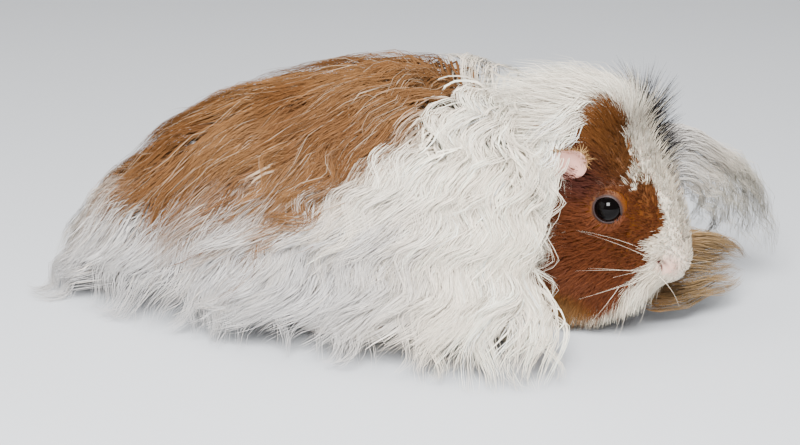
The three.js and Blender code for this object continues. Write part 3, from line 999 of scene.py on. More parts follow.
SHORT_FURS = [
    ShortFur("face_right", (0.25, 0.75), (0.43, 0.985), 12100, 3, 0.32, "rust_fur"),
    ShortFur("face_left", (-0.25, 0.25), (0.43, 0.985), 3800, 3, 0.52, "rust_fur"),
    ShortFur("crown", (-0.02, 0.52), (0.10, 0.53), 4500, 4, 0.32),
    ShortFur("beard", (0.55, 0.95), (0.30, 0.86), 2200, 4, 0.42),
]


@dataclass(frozen=True)
class HeadFur:
    """The fur of the head, short on the face and longer on the crown, nape and chin."""

    form: HeadForm
    lengths: tuple[float, ...] = (30, 26, 11, 4.8, 3.3, 2.7, 2.0, 1.2)
    length_stations: tuple[float, ...] = (-51, -30, -14, 0, 15, 28, 34, 37.5)
    ear: tuple[float, float, float] = (-11, 0, 9)
    ear_room: float = 8.0
    samples: int = 22

    def flow(self, local: Array) -> Array:
        """Which way the fur lies, from places on its surface.

        Args:
            local: Places given from the point between the eyes.

        Returns:
            Directions of length one.
        """
        y, z = local[..., 1], local[..., 2]
        rise = lerp(-1.0, -0.15, step(z, -46, -8)) + 0.45 * step(z, 4, 20)
        ahead = lerp(0.0, -1.0, step(z, -54, -26))
        way = spots(ahead, 0.25 * np.sign(y) * step(z, 10, 30), rise)
        distance, away = self.form.off_eye(local)
        return unit(way + away * (1.3 * (1 - step(distance, 6, 12)))[..., None])

    def nape(self, local: Array) -> Array:
        """Which way the long hair behind the ears lies: down the side of the head and back.

        Args:
            local: Places given from the point between the eyes.

        Returns:
            Directions of length one.
        """
        y, z = local[..., 1], local[..., 2]
        ahead = lerp(-0.7, 0.22, step(-z, -32, -12)) - 0.6 * step(-z, 2, 24)
        return unit(spots(ahead, 0.9 * np.sign(y) * step(z, 10, 30), -1.0))

    def length(self, local: Array) -> Array:
        """How long the fur is.

        Args:
            local: Places given from the point between the eyes.

        Returns:
            Lengths in millimetres.
        """
        size = through(self.length_stations, self.lengths)(local[..., 0])
        size = size + 8.5 * self.form.under(local)
        size = size * lerp(0.35, 1.0, step(self.form.off_nostril(local), 2, 9))
        return size * lerp(0.4, 1.0, step(self.form.off_eye(local)[0], 6, 13))

    def stand(self, local: Array) -> Array:
        """How far the tips stand clear of the form.

        Args:
            local: Places given from the point between the eyes.

        Returns:
            Distances in millimetres.
        """
        x, z = local[..., 0], local[..., 2]
        tuft = 7 * MARKS.black(local) + 4 * step(z, 20, 32) * (1 - step(x, -10, 4))
        return 0.1 + tuft + 2 * (1 - step(z, -56, -42)) * (1 - step(x, 8, 22))

    def weight(self, turn: Array, along: Array) -> Array:
        """How thickly the fur is rooted.

        Args:
            turn: Each place's turn about the head.
            along: Its place along the head.

        Returns:
            A share for each place.
        """
        local = self.form.local(turn, along)
        clear = (self.form.off_eye(local)[0] > 5.4) * (self.form.off_nostril(local) > 2.5)
        return clear * lerp(0.8, 1.0, step(local[..., 0], -30, 0))

    def trace(
        self, turn: Array, along: Array, length: Array, rings: int,
        flow: Callable[[Array], Array], lean: Array,
    ) -> tuple[Array, Array]:
        """Walks over the head from the given roots.

        Args:
            turn: Each hair's turn about the head at its root.
            along: Each hair's place along the head at its root.
            length: Each hair's length.
            rings: How many places to give.
            flow: Which way the hair lies.
            lean: How each hair strays from that.

        Returns:
            Places on the surface, before the head is bowed, and the ways out of it.
        """
        u, v = turn, along
        places, normals = [], []
        for _ in range(rings):
            here = self.form.local(u, v)
            du = (self.form.local(u + SMALL, v) - here) / SMALL
            dv = (self.form.local(u, v + SMALL) - here) / SMALL
            places.append(here)
            normals.append(unit(np.cross(du, dv)))
            way = flow(here) + lean
            uu, uv, vv = (du * du).sum(-1), (du * dv).sum(-1), (dv * dv).sum(-1)
            wu, wv = (way * du).sum(-1), (way * dv).sum(-1)
            det = np.maximum(uu * vv - uv * uv, SMALL)
            step_u, step_v = (wu * vv - wv * uv) / det, (wv * uu - wu * uv) / det
            size = np.linalg.norm(du * step_u[:, None] + dv * step_v[:, None], axis=-1)
            pace = length / (rings - 1) / np.maximum(size, 0.3)
            u, v = u + step_u * pace, np.clip(v + step_v * pace, 0.04, 0.985)
        return np.stack(places, axis=1), np.stack(normals, axis=1)

    def grow(self, turn: Array, along: Array, rings: int, width: float, seed: int) -> Hairs:
        """Grows short hairs at the given roots.

        Args:
            turn: Each hair's turn about the head at its root.
            along: Each hair's place along the head at its root.
            rings: How many rings each hair has.
            width: A hair's width, in millimetres.
            seed: For the chance in it.

        Returns:
            The hairs.
        """
        rng = np.random.default_rng(seed)
        count = len(turn)
        start = self.form.local(turn, along)
        depth, length = self.form.pelt(start), self.length(start) * rng.uniform(0.7, 1.25, count)
        stand = self.stand(start) * rng.uniform(0.2, 1.5, count)
        x, z = start[..., 0], start[..., 2]
        swirl = spots(0.0, drift(x, z, 0.25, seed), drift(x, z, 0.3, seed + 1))
        lean = rng.normal(0, 0.13, (count, 3)) + 0.2 * swirl
        places, normals = self.trace(turn, along, length, rings, self.flow, lean)
        share = np.linspace(0, 1, rings)[None]
        sunk = depth[:, None] * (1 - share) ** 1.6 - stand[:, None] * share**2
        centres = places - normals * sunk[..., None]
        down = np.array([0.15, 0.0, -0.95]) + 0.25 * normals[:, :1]
        down = unit(down + rng.normal(0, 0.12, (count, 1, 3)))
        run = (length[:, None] * share)[..., None]
        free = centres[:, :1] + down * run
        hang = 0.85 * self.form.under(start)
        centres = lerp(centres, free, hang[:, None, None] * step(share, 0, 0.6)[..., None])
        rear = (1 - step(x, -24, -10)) * step(z, 4, 18) * 0.85
        back = unit(spots(-0.9, 0.02 * start[:, 1], -0.12) + rng.normal(0, 0.12, (count, 3)))
        free = places[:, :1] + (back[:, None] - [0.15, 0, 0.35] * share[..., None]) * run
        free = free + normals[:, :1] * (2.0 * share * (1 - share))[..., None] * 4
        centres = lerp(centres, free, rear[:, None, None] * step(share, 0, 0.5)[..., None])
        outward = self.form.place(centres + normals) - self.form.place(centres)
        half = 0.5 * width * rng.uniform(0.7, 1.3, (count, 1)) * (1 - 0.85 * share**1.8)
        colour = MARKS.head(start, rng.random(count)) * rng.normal(1, 0.07, (count, 1))
        # Each hair is darker towards its root, down to 0.8 of its colour: painted shade in the depth of the
        # fur.
        tints = np.clip(colour[:, None] * (0.8 + 0.25 * share[..., None]), 0.01, 0.9)
        roots = np.stack([turn, along], axis=-1)
        return Hairs(self.form.place(centres), unit(outward), half, tints, roots, 0.5, 0.7)

    def locks(self, turn: Array, along: Array, lie: Lie, seed: int) -> Hairs:
        """Grows the long locks behind the ears, that hang over the sides of the head.

        Args:
            turn: Each lock's turn about the head at its root.
            along: Each lock's place along the head at its root.
            lie: How this hair lies.
            seed: For the chance in it.

        Returns:
            The hairs of the locks that leave the ears free.
        """
        rng = np.random.default_rng(seed)
        count = len(turn)
        length = lie.length * rng.uniform(0.6, 1.15, count)
        lean = rng.normal(0, 0.14, (count, 3))
        places, normals = self.trace(turn, along, length, self.samples, self.nape, lean)
        off_ear = np.linalg.norm(places * [1, 0, 1] - self.ear, axis=-1).min(axis=1)
        share = np.linspace(0, 1, self.samples)[None]
        lift = rng.uniform(1.5, 5.5, (count, 1)) * step(share, 0, 0.4)
        centre = self.form.place(places + normals * lift[..., None])
        outward = unit(self.form.place(places + normals) - self.form.place(places))
        side = np.cross(unit(np.gradient(centre, axis=1)), outward)
        offset = 2.5 * drift(turn * 40, along * 30, 0.3, 72)[:, None]
        phase = TURN * share * length[:, None] / lie.wave_length + offset
        centre = waved(centre, outward, side, phase, np.arange(count), lie, 0.0, rng)
        colour = np.tile(Tone.WHITE.rgb, (count, 1))
        room = self.form.pelt(self.form.local(turn, along))
        rows = (centre, outward, side, room, colour, np.stack([turn, along], axis=-1))
        return strands(*[row[off_ear > self.ear_room] for row in rows], lie, rng)

    def build(self) -> Pieces:
        """Grows the head's fur and returns its pieces with their slots.

        Returns:
            The pieces.
        """
        pieces = []
        for i, fur in enumerate(SHORT_FURS):
            rng = np.random.default_rng(SEED + 200 + i)
            turn, along = scattered(self.form.point, fur.hairs, fur.turns, fur.alongs, rng, self.weight)
            hairs = self.grow(turn, along, fur.rings, fur.width, SEED + 210 + i)
            pieces.append((hairs.mesh(fur.name), fur.slot))
        for nape in NAPES:
            rng = np.random.default_rng(SEED + 230 + int(nape.turns[0] > 0.1))
            turn, along = scattered(self.form.point, nape.lie.locks, nape.turns, nape.falls, rng)
            pieces.append((self.locks(turn, along, nape.lie, SEED + 240).mesh(nape.name), nape.slot))
        return pieces


# ---- Tufts that stand clear -------------------------------------------------------------------


@dataclass(frozen=True)
class Plume:
    """A spray of long hair that stands clear of the head.

    Its hairs run between an upper and a lower path, given from between the eyes and level with
    the floor, in millimetres.
    """

    name: str
    upper: tuple[tuple[float, float, float], ...]
    lower: tuple[tuple[float, float, float], ...]
    thick: float
    hairs: int
    tones: tuple[Tone, Tone, Tone]
    slot: str
    wave: float
    waves: float
    width: float

    def build(self, seed: int) -> bpy.types.Object:
        """Grows the spray.

        Args:
            seed: For the chance in it.

        Returns:
            The piece.
        """
        rng = np.random.default_rng(seed)
        rings, locks = 10, self.hairs // 12
        stations = list(np.linspace(0, 1, len(self.upper)))
        upper = [through(stations, list(axis)) for axis in zip(*self.upper)]
        lower = [through(stations, list(axis)) for axis in zip(*self.lower)]
        lock = rng.integers(0, locks, self.hairs)
        drop = (rng.uniform(0, 1, (locks, 1)) ** 1.8)[lock]
        depth = rng.uniform(-1, 1, (locks, 1))[lock]
        first, last = rng.uniform(0, 0.2, (self.hairs, 1)), rng.uniform(0.68, 1.03, (locks, 1))[lock]
        last = last * rng.uniform(0.85, 1.0, (self.hairs, 1))
        share = np.linspace(0, 1, rings)[None]
        t = first + (last - first) * share
        spread = rng.normal(0, 0.07, (self.hairs, 1)) * (1.1 - 0.6 * share)
        fan = np.clip(drop + spread, -0.05, 1.05)[..., None]

        def path(at: Array) -> Array:
            """Each hair's own line between the two paths."""
            return lerp(spots(*[axis(at) for axis in upper]), spots(*[axis(at) for axis in lower]), fan)

        middle, ahead = path(t), unit(path(t + 0.03) - path(t - 0.03))
        side = unit(np.cross(np.array([0, 0, 1.0]), ahead))
        rise = np.cross(ahead, side)
        phase = TURN * (t * self.waves + rng.uniform(0, 1, (locks, 1))[lock])
        swing = self.wave * step(share, 0.1, 0.6) * rng.uniform(0.6, 1.3, (self.hairs, 1))
        across = depth * self.thick * (0.5 + 0.5 * share) + rng.normal(0, 0.8, (self.hairs, 1))
        across = across + 0.7 * swing * np.cos(phase)
        centres = HEAD.level(middle + side * across[..., None] + rise * (swing * np.sin(phase))[..., None])
        out = HEAD.level(middle + rise - 0.3 * side) - HEAD.level(middle)
        half = 0.5 * self.width * rng.uniform(0.6, 1.3, (self.hairs, 1)) * (1 - 0.8 * share**2)
        tone = lerp(self.tones[1].rgb, self.tones[2].rgb, rng.random((self.hairs, 1)))
        near = (1 - step(t, 0.05, 0.5))[..., None]
        tints = np.clip(lerp(tone[:, None], self.tones[0].rgb, 0.8 * near), 0.01, 0.9)
        roots = np.concatenate([drop, depth * 0.5 + 0.5], axis=1) + rng.normal(0, 0.01, (self.hairs, 2))
        return Hairs(centres, unit(out), half, tints, roots, 0.6, 0.5).mesh(self.name)


PLUMES = [
    Plume(
        "forelock_spray",
        (
            (2, 10, 22), (12, 31, 21.5), (18, 46, 11), (22, 63, 0), (25, 76, -16), (27, 84, -31),
            (28, 88, -47),
        ),
        ((6, 18, 0), (11, 27, 0), (13, 34, -5), (15, 41, -12), (16, 45, -20), (16, 48, -27), (16, 49, -33)),
        9, 720, (Tone.ASH, Tone.WHITE, Tone.WHITE), "grey_fur", 2.8, 3.8, 0.26,
    ),
    Plume(
        "cheek_tuft_spray",
        ((4, 14, -22), (10, 22, -22), (16, 32, -24), (19, 44, -28), (22, 55, -33), (24, 62, -40)),
        ((4, 10, -50), (8, 16, -52), (13, 26, -52), (17, 37, -52), (21, 48, -51), (24, 57, -47)),
        9, 1000, (Tone.PALE_GOLD, Tone.DUN, Tone.BUFF), "tan_fur", 1.3, 1.8, 0.34,
    ),
]


# ---- Skin -------------------------------------------------------------------------------------


def ball(mesh: bmesh.types.BMesh, segments: int, rings: int, shape: Callable[[Array], Array]) -> None:
    """Adds a ball, moved by a shape that gives millimetres."""
    moved(bmesh.ops.create_uvsphere(mesh, u_segments=segments, v_segments=rings, radius=1)["verts"], shape)


def moved(verts: list[bmesh.types.BMVert], shape: Callable[[Array], Array]) -> None:
    """Moves vertices by a shape that gives millimetres."""
    for vert, place in zip(verts, shape(np.array([v.co for v in verts])) * MM):
        vert.co = place


def apply_modifiers(piece: bpy.types.Object) -> None:
    """Makes a piece's modifiers part of its mesh.

    Args:
        piece: The piece, which is left with no modifier.
    """
    depsgraph = bpy.context.evaluated_depsgraph_get()
    data = bpy.data.meshes.new_from_object(piece.evaluated_get(depsgraph))
    piece.modifiers.clear()
    piece.data = data


def shown(name: str, data: bpy.types.ID) -> bpy.types.Object:
    """Puts a mesh, a lamp or a camera in the scene as an object.

    Args:
        name: The object's name.
        data: What it shows.

    Returns:
        The object.
    """
    piece = bpy.data.objects.new(name, data)
    bpy.context.scene.collection.objects.link(piece)
    return piece


def linked(name: str, mesh: bmesh.types.BMesh) -> bpy.types.Object:
    """Makes a mesh a smooth object of the scene.

    Args:
        name: The piece's name.
        mesh: Its shape, which is used up.

    Returns:
        The piece.
    """
    bmesh.ops.recalc_face_normals(mesh, faces=mesh.faces)
    data = bpy.data.meshes.new(name)
    mesh.to_mesh(data)
    mesh.free()
    data.shade_smooth()
    return shown(name, data)


@dataclass(frozen=True)
class Leg:
    """A leg and its foot, in the straightened body's millimetres."""

    x: float
    apart: float
    height: float
    radius: float
    paw: float
    paw_width: float
    toes: int

    def add(self, mesh: bmesh.types.BMesh, side: Side) -> None:
        """Adds the leg's rounded forms."""
        for centre, radii in self.forms(side):
            ball(mesh, 20, 14, lambda p, c=centre, r=radii: BEND.place(*np.moveaxis(p * r + c, -1, 0)))

    def forms(self, side: Side) -> list[tuple[Array, Array]]:
        """The centres and radii of the leg's forms.

        Args:
            side: Its side.

        Returns:
            Pairs of a centre and its radii, in millimetres.
        """
        y, low = side.value * self.apart, 0.32 * self.paw_width
        forms = [
            ((self.x, y, self.height * 0.6), (self.radius * 1.1, self.radius, self.height * 0.45)),
            ((self.x + self.paw * 0.25, y, low), (self.paw * 0.42, self.paw_width * 0.42, low)),
        ]
        forms += [((x, toe_y, 2.6), (5.5, 2.2, 2.4)) for x, toe_y in self.toe_ends(side)]
        return [(np.array(centre), np.array(radii)) for centre, radii in forms]

    def toe_ends(self, side: Side) -> list[tuple[float, float]]:
        """Where each toe lies.

        Args:
            side: Its side.

        Returns:
            How far forward and how far to the left each lies.
        """
        spots = []
        for i in range(self.toes):
            across = (i - (self.toes - 1) / 2) / (self.toes - 1)
            x = self.x + self.paw * (0.62 - 0.35 * across**2)
            spots.append((x, side.value * self.apart + across * self.paw_width * 0.95))
        return spots


LEGS = [
    Leg(x=37, apart=27, height=32, radius=8.5, paw=24, paw_width=13, toes=4),
    Leg(x=-48, apart=34, height=40, radius=15, paw=44, paw_width=14, toes=3),
]


@dataclass(frozen=True)
class Ear:
    """A thin cupped petal, its rim rolled above and ahead, with fine hair along its top."""

    size: tuple[float, float] = (7.0, 8.0)
    thickness: float = 0.8
    cup: float = 0.018
    seat: tuple[float, float, float] = (-17.5, 29.0, 11.5)
    leans: tuple[float, float, float] = (0.12, -0.5, 0.5)
    fuzz_length: tuple[float, float] = (2.5, 6.5)

    def shape(self, p: Array, side: Side) -> Array:
        """Takes a unit ball to the ear of a side.

        Args:
            p: Places on the unit ball.
            side: Its side.

        Returns:
            Places in the model's frame, in millimetres.
        """
        x, z = p[:, 0] * self.size[0], p[:, 2] * self.size[1]
        rim = p[:, 0] ** 2 + p[:, 2] ** 2
        ripple = 0.8 * np.sin(3 * np.arctan2(z, x)) * rim
        fold = 2.4 * step(p[:, 2], 0.3, 1.0) + 2.2 * step(p[:, 0], 0.45, 1.0)
        y = p[:, 1] * self.thickness + side.value * (self.cup * (x**2 + z**2) + ripple + 0.6 * fold - 1.0)
        y, z = spun(y, z, side.value * self.leans[0])
        x, y = spun(x, y, side.value * self.leans[1])
        x, z = spun(x, z, -self.leans[2])
        return HEAD.place(spots(x + self.seat[0], y + side.value * self.seat[1], z + self.seat[2]))

    def fuzz(self, count: int) -> Hairs:
        """Short soft hair along the upper rims and over the backs of both ears.

        Args:
            count: How many hairs each ear has.

        Returns:
            The hairs of both ears.
        """
        groups = []
        for side in Side:
            rng = np.random.default_rng(SEED + 420 + side.value)
            angle, reach = rng.uniform(0.8, 3.0, count), rng.uniform(0.6, 1.0, count)
            rim = spots(reach * np.cos(angle), 0.1 * side.value, reach * np.sin(angle))
            root = self.shape(rim, side)
            way = unit(self.shape(rim * [1.25, 1, 1.25], side) - root)
            way = unit(way + rng.normal(0, 0.25, (count, 3)) + [-0.35, 0, 0.15])
            share = np.linspace(0, 1, 5)[None, :, None]
            length = rng.uniform(*self.fuzz_length, (count, 1, 1)) * reach[:, None, None]
            droop = np.array([0.3, 0, 0.35]) * share**2 * length * 0.6
            path = root[:, None] + way[:, None] * share * length - droop
            out = np.broadcast_to(unit(root - HEAD.place(np.array([-20.0, 0, 14])))[:, None], path.shape)
            half = 0.17 * (1 - 0.85 * share[..., 0]) * np.ones((count, 5))
            tone = np.where(rng.random((count, 1, 1)) < 0.6, Tone.PALE_GOLD.rgb, Tone.BUFF.rgb)
            tone = tone * np.ones((1, 5, 1))
            groups.append(Hairs(path, out, half, tone, np.stack([angle, reach], -1)))
        return joined(groups)


EAR = Ear()


@dataclass(frozen=True)
class Skin:
    """The skin of the whole animal, inside the coat by the coat's depth."""

    voxel: float = 1.3 * MM
    smoothing: int = 6
    slit_depth: float = 2.4
    cleft_depth: float = 0.7
    mouth_depth: float = 1.3
    lid_opening: float = 5.05

    def build(self) -> bpy.types.Object:
        """Makes the body, head, legs, ears and lids as one piece.

        Returns:
            The piece.
        """
        mesh = bmesh.new()
        ball(mesh, 72, 40, lambda p: BODY.point(
            np.arctan2(-p[:, 1], -p[:, 0]) / (2 * np.pi), np.arccos(np.clip(p[:, 2], -1, 1)) / np.pi
        ))
        ball(mesh, 96, 72, lambda p: HEAD.skin(
            np.arctan2(p[:, 1], p[:, 0]) / (2 * np.pi), np.arccos(np.clip(-p[:, 2], -1, 1)) / np.pi
        ))
        for leg in LEGS:
            for side in Side:
                leg.add(mesh, side)
        skin = linked("skin", mesh)
        remesh = skin.modifiers.new("one", "REMESH")
        remesh.mode, remesh.voxel_size = "VOXEL", self.voxel
        smooth = skin.modifiers.new("smooth", "SMOOTH")
        smooth.iterations = self.smoothing
        apply_modifiers(skin)
        mesh = bmesh.new()
        mesh.from_mesh(skin.data)
        self._refine(mesh)
        for side in Side:
            ball(mesh, 48, 28, lambda p: EAR.shape(p, side))
            self._lids(mesh, side)
        mesh.to_mesh(skin.data)
        mesh.free()
        skin.data.shade_smooth()
        return skin

    def _refine(self, mesh: bmesh.types.BMesh) -> None:
        """Divides the skin of the nose finely and opens the nostrils and the mouth.

        Args:
            mesh: The skin's shape.
        """
        for _ in range(2):
            places = HEAD.back(np.array([v.co for v in mesh.verts]) / MM)
            mesh.verts.ensure_lookup_table()
            mesh.verts.index_update()
            near = np.linalg.norm((places - [33, 0, -16]) / [9, 14, 15], axis=-1) < 1
            edges = [e for e in mesh.edges if near[e.verts[0].index] and near[e.verts[1].index]]
            bmesh.ops.subdivide_edges(mesh, edges=edges, cuts=1, use_grid_fill=True, smooth=0.0)
        places = HEAD.back(np.array([v.co for v in mesh.verts]) / MM)
        x, y, z = places[:, 0], np.abs(places[:, 1]), places[:, 2]
        cleft = np.exp(-((y / 0.6) ** 2)) * step(z, -27, -25) * (1 - step(z, -16, -12)) * (x > 30)
        mouth = np.exp(-(((z + 27.5 + 0.12 * y) / 0.7) ** 2)) * (1 - step(y, 7, 10)) * (x > 24)
        depth = self.slit_depth * HEAD.slit(places) + self.cleft_depth * cleft + self.mouth_depth * mouth
        inward = unit(np.array([20.0, 0, -15]) - places)
        shifted = HEAD.place(places + inward * depth[:, None]) * MM
        for vert, place, moves in zip(mesh.verts, shifted, depth > 0.02):
            if moves:
                vert.co = place

    def _lids(self, mesh: bmesh.types.BMesh, side: Side) -> None:
        """Adds the rims of the lids, that close round the eye to a corner ahead and below.

        Args:
            mesh: The skin's shape.
            side: The eye's side.
        """
        gaze = unit(np.array([0.30, side.value * 0.94, 0.12]))
        rise = unit(np.array([0.0, 0.0, 1.0]) - gaze * gaze[2])
        ahead = np.cross(gaze, rise) * -side.value
        ahead = ahead if ahead[0] > 0 else -ahead

        def shape(grid: Array) -> Array:
            """Rolls a flat grid into the rim.

            Args:
                grid: Places on the grid, from -1 to 1.

            Returns:
                Places in the model's frame, in millimetres.
            """
            turn, s = (grid[:, 0] + 1) * np.pi, (grid[:, 1] + 1) / 2
            front = np.angle(np.exp(1j * (turn + math.radians(14))))
            rear = np.angle(np.exp(1j * (turn - math.radians(168))))
            corners = 0.95 * np.exp(-((front / 0.36) ** 2)) + 0.35 * np.exp(-((rear / 0.4) ** 2))
            opening = self.lid_opening + corners
            rim = np.sqrt(HEAD.eye_radius**2 - np.minimum(opening, 5.65) ** 2)
            stations = [0, 0.12, 0.25, 0.38, 0.52, 0.70, 0.85, 1]
            reach = opening + through(stations, [0, 0.02, 0.25, 0.65, 1.4, 3.0, 1.6, 0])(s)
            height = rim + through(stations, [-0.9, 0.12, 0.35, 0.15, -0.7, -2.2, -3.0, -0.9])(s)
            flat = np.cos(turn)[:, None] * ahead + np.sin(turn)[:, None] * rise
            return HEAD.place(HEAD.eye_of(side) + flat * reach[:, None] + gaze * height[:, None])

        verts = bmesh.ops.create_grid(mesh, x_segments=72, y_segments=18, size=1)["verts"]
        faces = list({face for vert in verts for face in vert.link_faces})
        moved(verts, shape)
        bmesh.ops.remove_doubles(mesh, verts=verts, dist=0.01 * MM)
        bmesh.ops.recalc_face_normals(mesh, faces=[face for face in faces if face.is_valid])

    def dress(self, skin: bpy.types.Object) -> None:
        """Gives the skin the markings of the hair over it, darkened as painted shade under the fur, and bare
        skin at nose, ears and lids, with painted shade in the nostril slits.

        Args:
            skin: The skin's piece.
        """
        turn, fall = np.meshgrid(
            np.linspace(0, 1, 160, endpoint=False), np.linspace(0, 1.3, 50), indexing="ij"
        )
        around, along = np.meshgrid(
            np.linspace(0, 1, 160, endpoint=False), np.linspace(0.02, 0.98, 110), indexing="ij"
        )
        body = BODY.point(turn, 0.08 + 0.62 * fall).reshape(-1, 3)
        # The skin takes the markings of the hair over it, darkened to 0.6 under the coat and 0.85 on the
        # head: painted shade under the fur.
        colours = np.concatenate([
            MARKS.body(turn, np.minimum(fall, 1)).reshape(-1, 3) * 0.6,
            MARKS.head(HEAD.local(around, along)).reshape(-1, 3) * 0.85,
        ])
        tree = KDTree(len(colours))
        for i, place in enumerate(np.concatenate([body, HEAD.skin(around, along).reshape(-1, 3)])):
            tree.insert(place, i)
        tree.balance()
        places = np.array([vert.co for vert in skin.data.vertices]) / MM
        rgba = np.ones((len(places), 4), np.float32)
        for i, place in enumerate(places):
            rgba[i, :3] = colours[tree.find(place)[1]]
        local = HEAD.back(places)
        off_nose = HEAD.off_nostril(local)
        left = np.sign(local[:, 1])
        eye = local - spots(HEAD.eye[0], left * HEAD.eye[1], HEAD.eye[2])
        ear = (local - spots(EAR.seat[0], left * 29.5, EAR.seat[2])) / [10, 9, 11]
        beside = step(np.abs(local[:, 1]), 22, 24)
        for tone, share in (
            (Tone.PINK, 0.6 * (1 - step(off_nose, 2.5, 8)) + 0.2 * step(local[:, 0], 28, 35)),
            # Painted shade darkens the sunk nostril slits.
            (Tone.DARK_PINK, 1.8 * HEAD.slit(local)),
            (Tone.PINK, (np.linalg.norm(ear, axis=-1) < 1) * beside),
            (Tone.LID, 1 - step(np.abs(np.linalg.norm(eye, axis=-1) - 6.0), 0.5, 1.0)),
        ):
            rgba[:, :3] = lerp(rgba[:, :3], tone.rgb, np.clip(share, 0, 1)[:, None])
        tint = skin.data.color_attributes.new("Tint", "FLOAT_COLOR", "POINT")
        tint.data.foreach_set("color", rgba.ravel())
        skin.data.materials.append(SkinFinish().make())


@dataclass(frozen=True)
class Claws:
    """The claws of all four feet."""

    length: float = 4.5
    root_radius: float = 1.0
    tip_radius: float = 0.12
    ahead: float = 6.4
    height: float = 1.9

    def build(self) -> bpy.types.Object:
        """Makes the claws as one piece and dresses them.

        Returns:
            The piece.
        """
        mesh = bmesh.new()
        for leg in LEGS:
            for side in Side:
                for x, y in leg.toe_ends(side):
                    made = bmesh.ops.create_cone(
                        mesh, cap_ends=True, cap_tris=True, segments=10, radius1=self.root_radius,
                        radius2=self.tip_radius, depth=self.length,
                    )
                    moved(made["verts"], lambda p, x=x, y=y: self._curved(p, x, y))
        claws = linked("claws", mesh)
        claws.data.materials.append(HornFinish().make())
        return claws

    def _curved(self, p: Array, x: float, y: float) -> Array:
        """Lays an upright cone ahead of a toe and bends its tip down."""
        drop = 0.06 * (p[:, 2] + 2.2) ** 2
        return BEND.place(x + self.ahead + p[:, 2], y + p[:, 1] * 0.8, self.height + p[:, 0] * 0.9 - drop)


@dataclass(frozen=True)
class Whiskers:
    """Long stiff hairs on both sides of the muzzle."""

    count: int = 12
    rings: int = 10
    half: float = 0.09
    lengths: tuple[float, float] = (17, 32)
    turns: tuple[tuple[float, float], ...] = ((0.46, 0.60), (-0.10, 0.04))
    alongs: tuple[float, float] = (0.70, 0.84)
    droop: float = 4.5

    def build(self) -> bpy.types.Object:
        """Makes the whiskers as one piece.

        Returns:
            The piece.
        """
        rng = np.random.default_rng(SEED + 400)
        groups, count = [], self.count
        for turns in self.turns:
            turn, along = rng.uniform(*turns, count), rng.uniform(*self.alongs, count)
            root = HEAD.local(turn, along)
            out = unit(root - [10, 0, -18])
            way = out * [0.5, 0.75, 0.3] + rng.normal(0, 0.12, (count, 3))
            way = unit(way + rng.uniform(-0.9, 0.1, (count, 1)) * [1, 0, 0])[:, None]
            share = np.linspace(0, 1, self.rings)[None, :, None]
            length = rng.uniform(*self.lengths, (count, 1, 1))
            sunk = out[:, None] * 1.5 * (1 - share)
            path = HEAD.place(root[:, None] + (way * share - [0.22, 0, 0] * share**2) * length - sunk)
            path[..., 2] -= self.droop * share[..., 0] ** 2
            half = self.half * (1 - 0.85 * share[..., 0]) * np.ones((count, self.rings))
            tints = np.broadcast_to(Tone.WHITE.rgb, path.shape)
            above = np.tile([0, 0, 1.0], (count, self.rings, 1))
            groups.append(Hairs(path, above, half, tints, np.stack([turn, along], -1), flat=1.0))
        return joined(groups).mesh("whiskers")


@dataclass(frozen=True)
class Eye:
    """One dark eye."""

    side: Side

    def build(self) -> bpy.types.Object:
        """Makes the eye's ball.

        Returns:
            The piece.
        """
        mesh = bmesh.new()
        ball(mesh, 64, 48, lambda p: HEAD.place(HEAD.eye_of(self.side) + p * HEAD.eye_radius))
        return linked(f"{self.node}_ball", mesh)

    @property
    def node(self) -> str:
        """The name of the solid that it replaces."""
        return f"eye_{self.side.name.lower()}"


# ---- Studio -----------------------------------------------------------------------------------


@dataclass(frozen=True)
class Studio:
    """A pale floor, soft lights and the camera."""

    azimuth: float = 10.0
    elevation: float = 18.0
    distance: float = 0.90
    lens: float = 96.0
    target: tuple[float, float, float] = (-0.0005, 0.0, 0.04)
    floor: float = 4.0
    sky: float = 0.28

    def build(self) -> None:
        """Sets up everything round the animal."""
        mesh = bmesh.new()
        bmesh.ops.create_grid(mesh, x_segments=1, y_segments=1, size=self.floor)
        data = bpy.data.meshes.new("floor")
        mesh.to_mesh(data)
        mesh.free()
        data.materials.append(material("floor", {"Base Color": (0.62, 0.64, 0.67, 1), "Roughness": 0.9}))
        floor = shown("floor", data)
        self._camera()
        self._lamp("key", (0.12, -0.95, 0.85), 0.5, 58)
        self._lamp("fill", (-0.8, -0.7, 0.5), 0.9, 5)
        self._lamp("top", (0.0, 0.3, 1.1), 0.9, 4)
        world = bpy.data.worlds.new("studio")
        world.use_nodes = True
        world.node_tree.nodes["Background"].inputs["Color"].default_value = (1.0, 0.98, 0.96, 1)
        world.node_tree.nodes["Background"].inputs["Strength"].default_value = self.sky
        bpy.context.scene.world = world

    def _camera(self) -> None:
        """Places the camera."""
        a, e = math.radians(self.azimuth), math.radians(self.elevation)
        back = Vector((math.sin(a) * math.cos(e), -math.cos(a) * math.cos(e), math.sin(e)))
        data = bpy.data.cameras.new("camera")
        data.lens = self.lens
        data.clip_start = 0.05
        camera = shown("camera", data)
        camera.location = Vector(self.target) + back * self.distance
        camera.rotation_euler = back.to_track_quat("Z", "Y").to_euler()
        bpy.context.scene.camera = camera

    def _lamp(self, name: str, place: tuple[float, float, float], size: float, power: float) -> None:
        """Hangs one soft square lamp that faces the animal.

        Args:
            name: The lamp's name.
            place: Where it hangs, in metres.
            size: The length of its sides, in metres.
            power: Its power in watts.
        """
        data = bpy.data.lights.new(name, "AREA")
        data.size, data.energy = size, power
        lamp = shown(name, data)
        lamp.location = place
        lamp.rotation_euler = (Vector(place) - Vector((0, 0, 0.05))).to_track_quat("Z", "Y").to_euler()


# ---- Finishes ---------------------------------------------------------------------------------


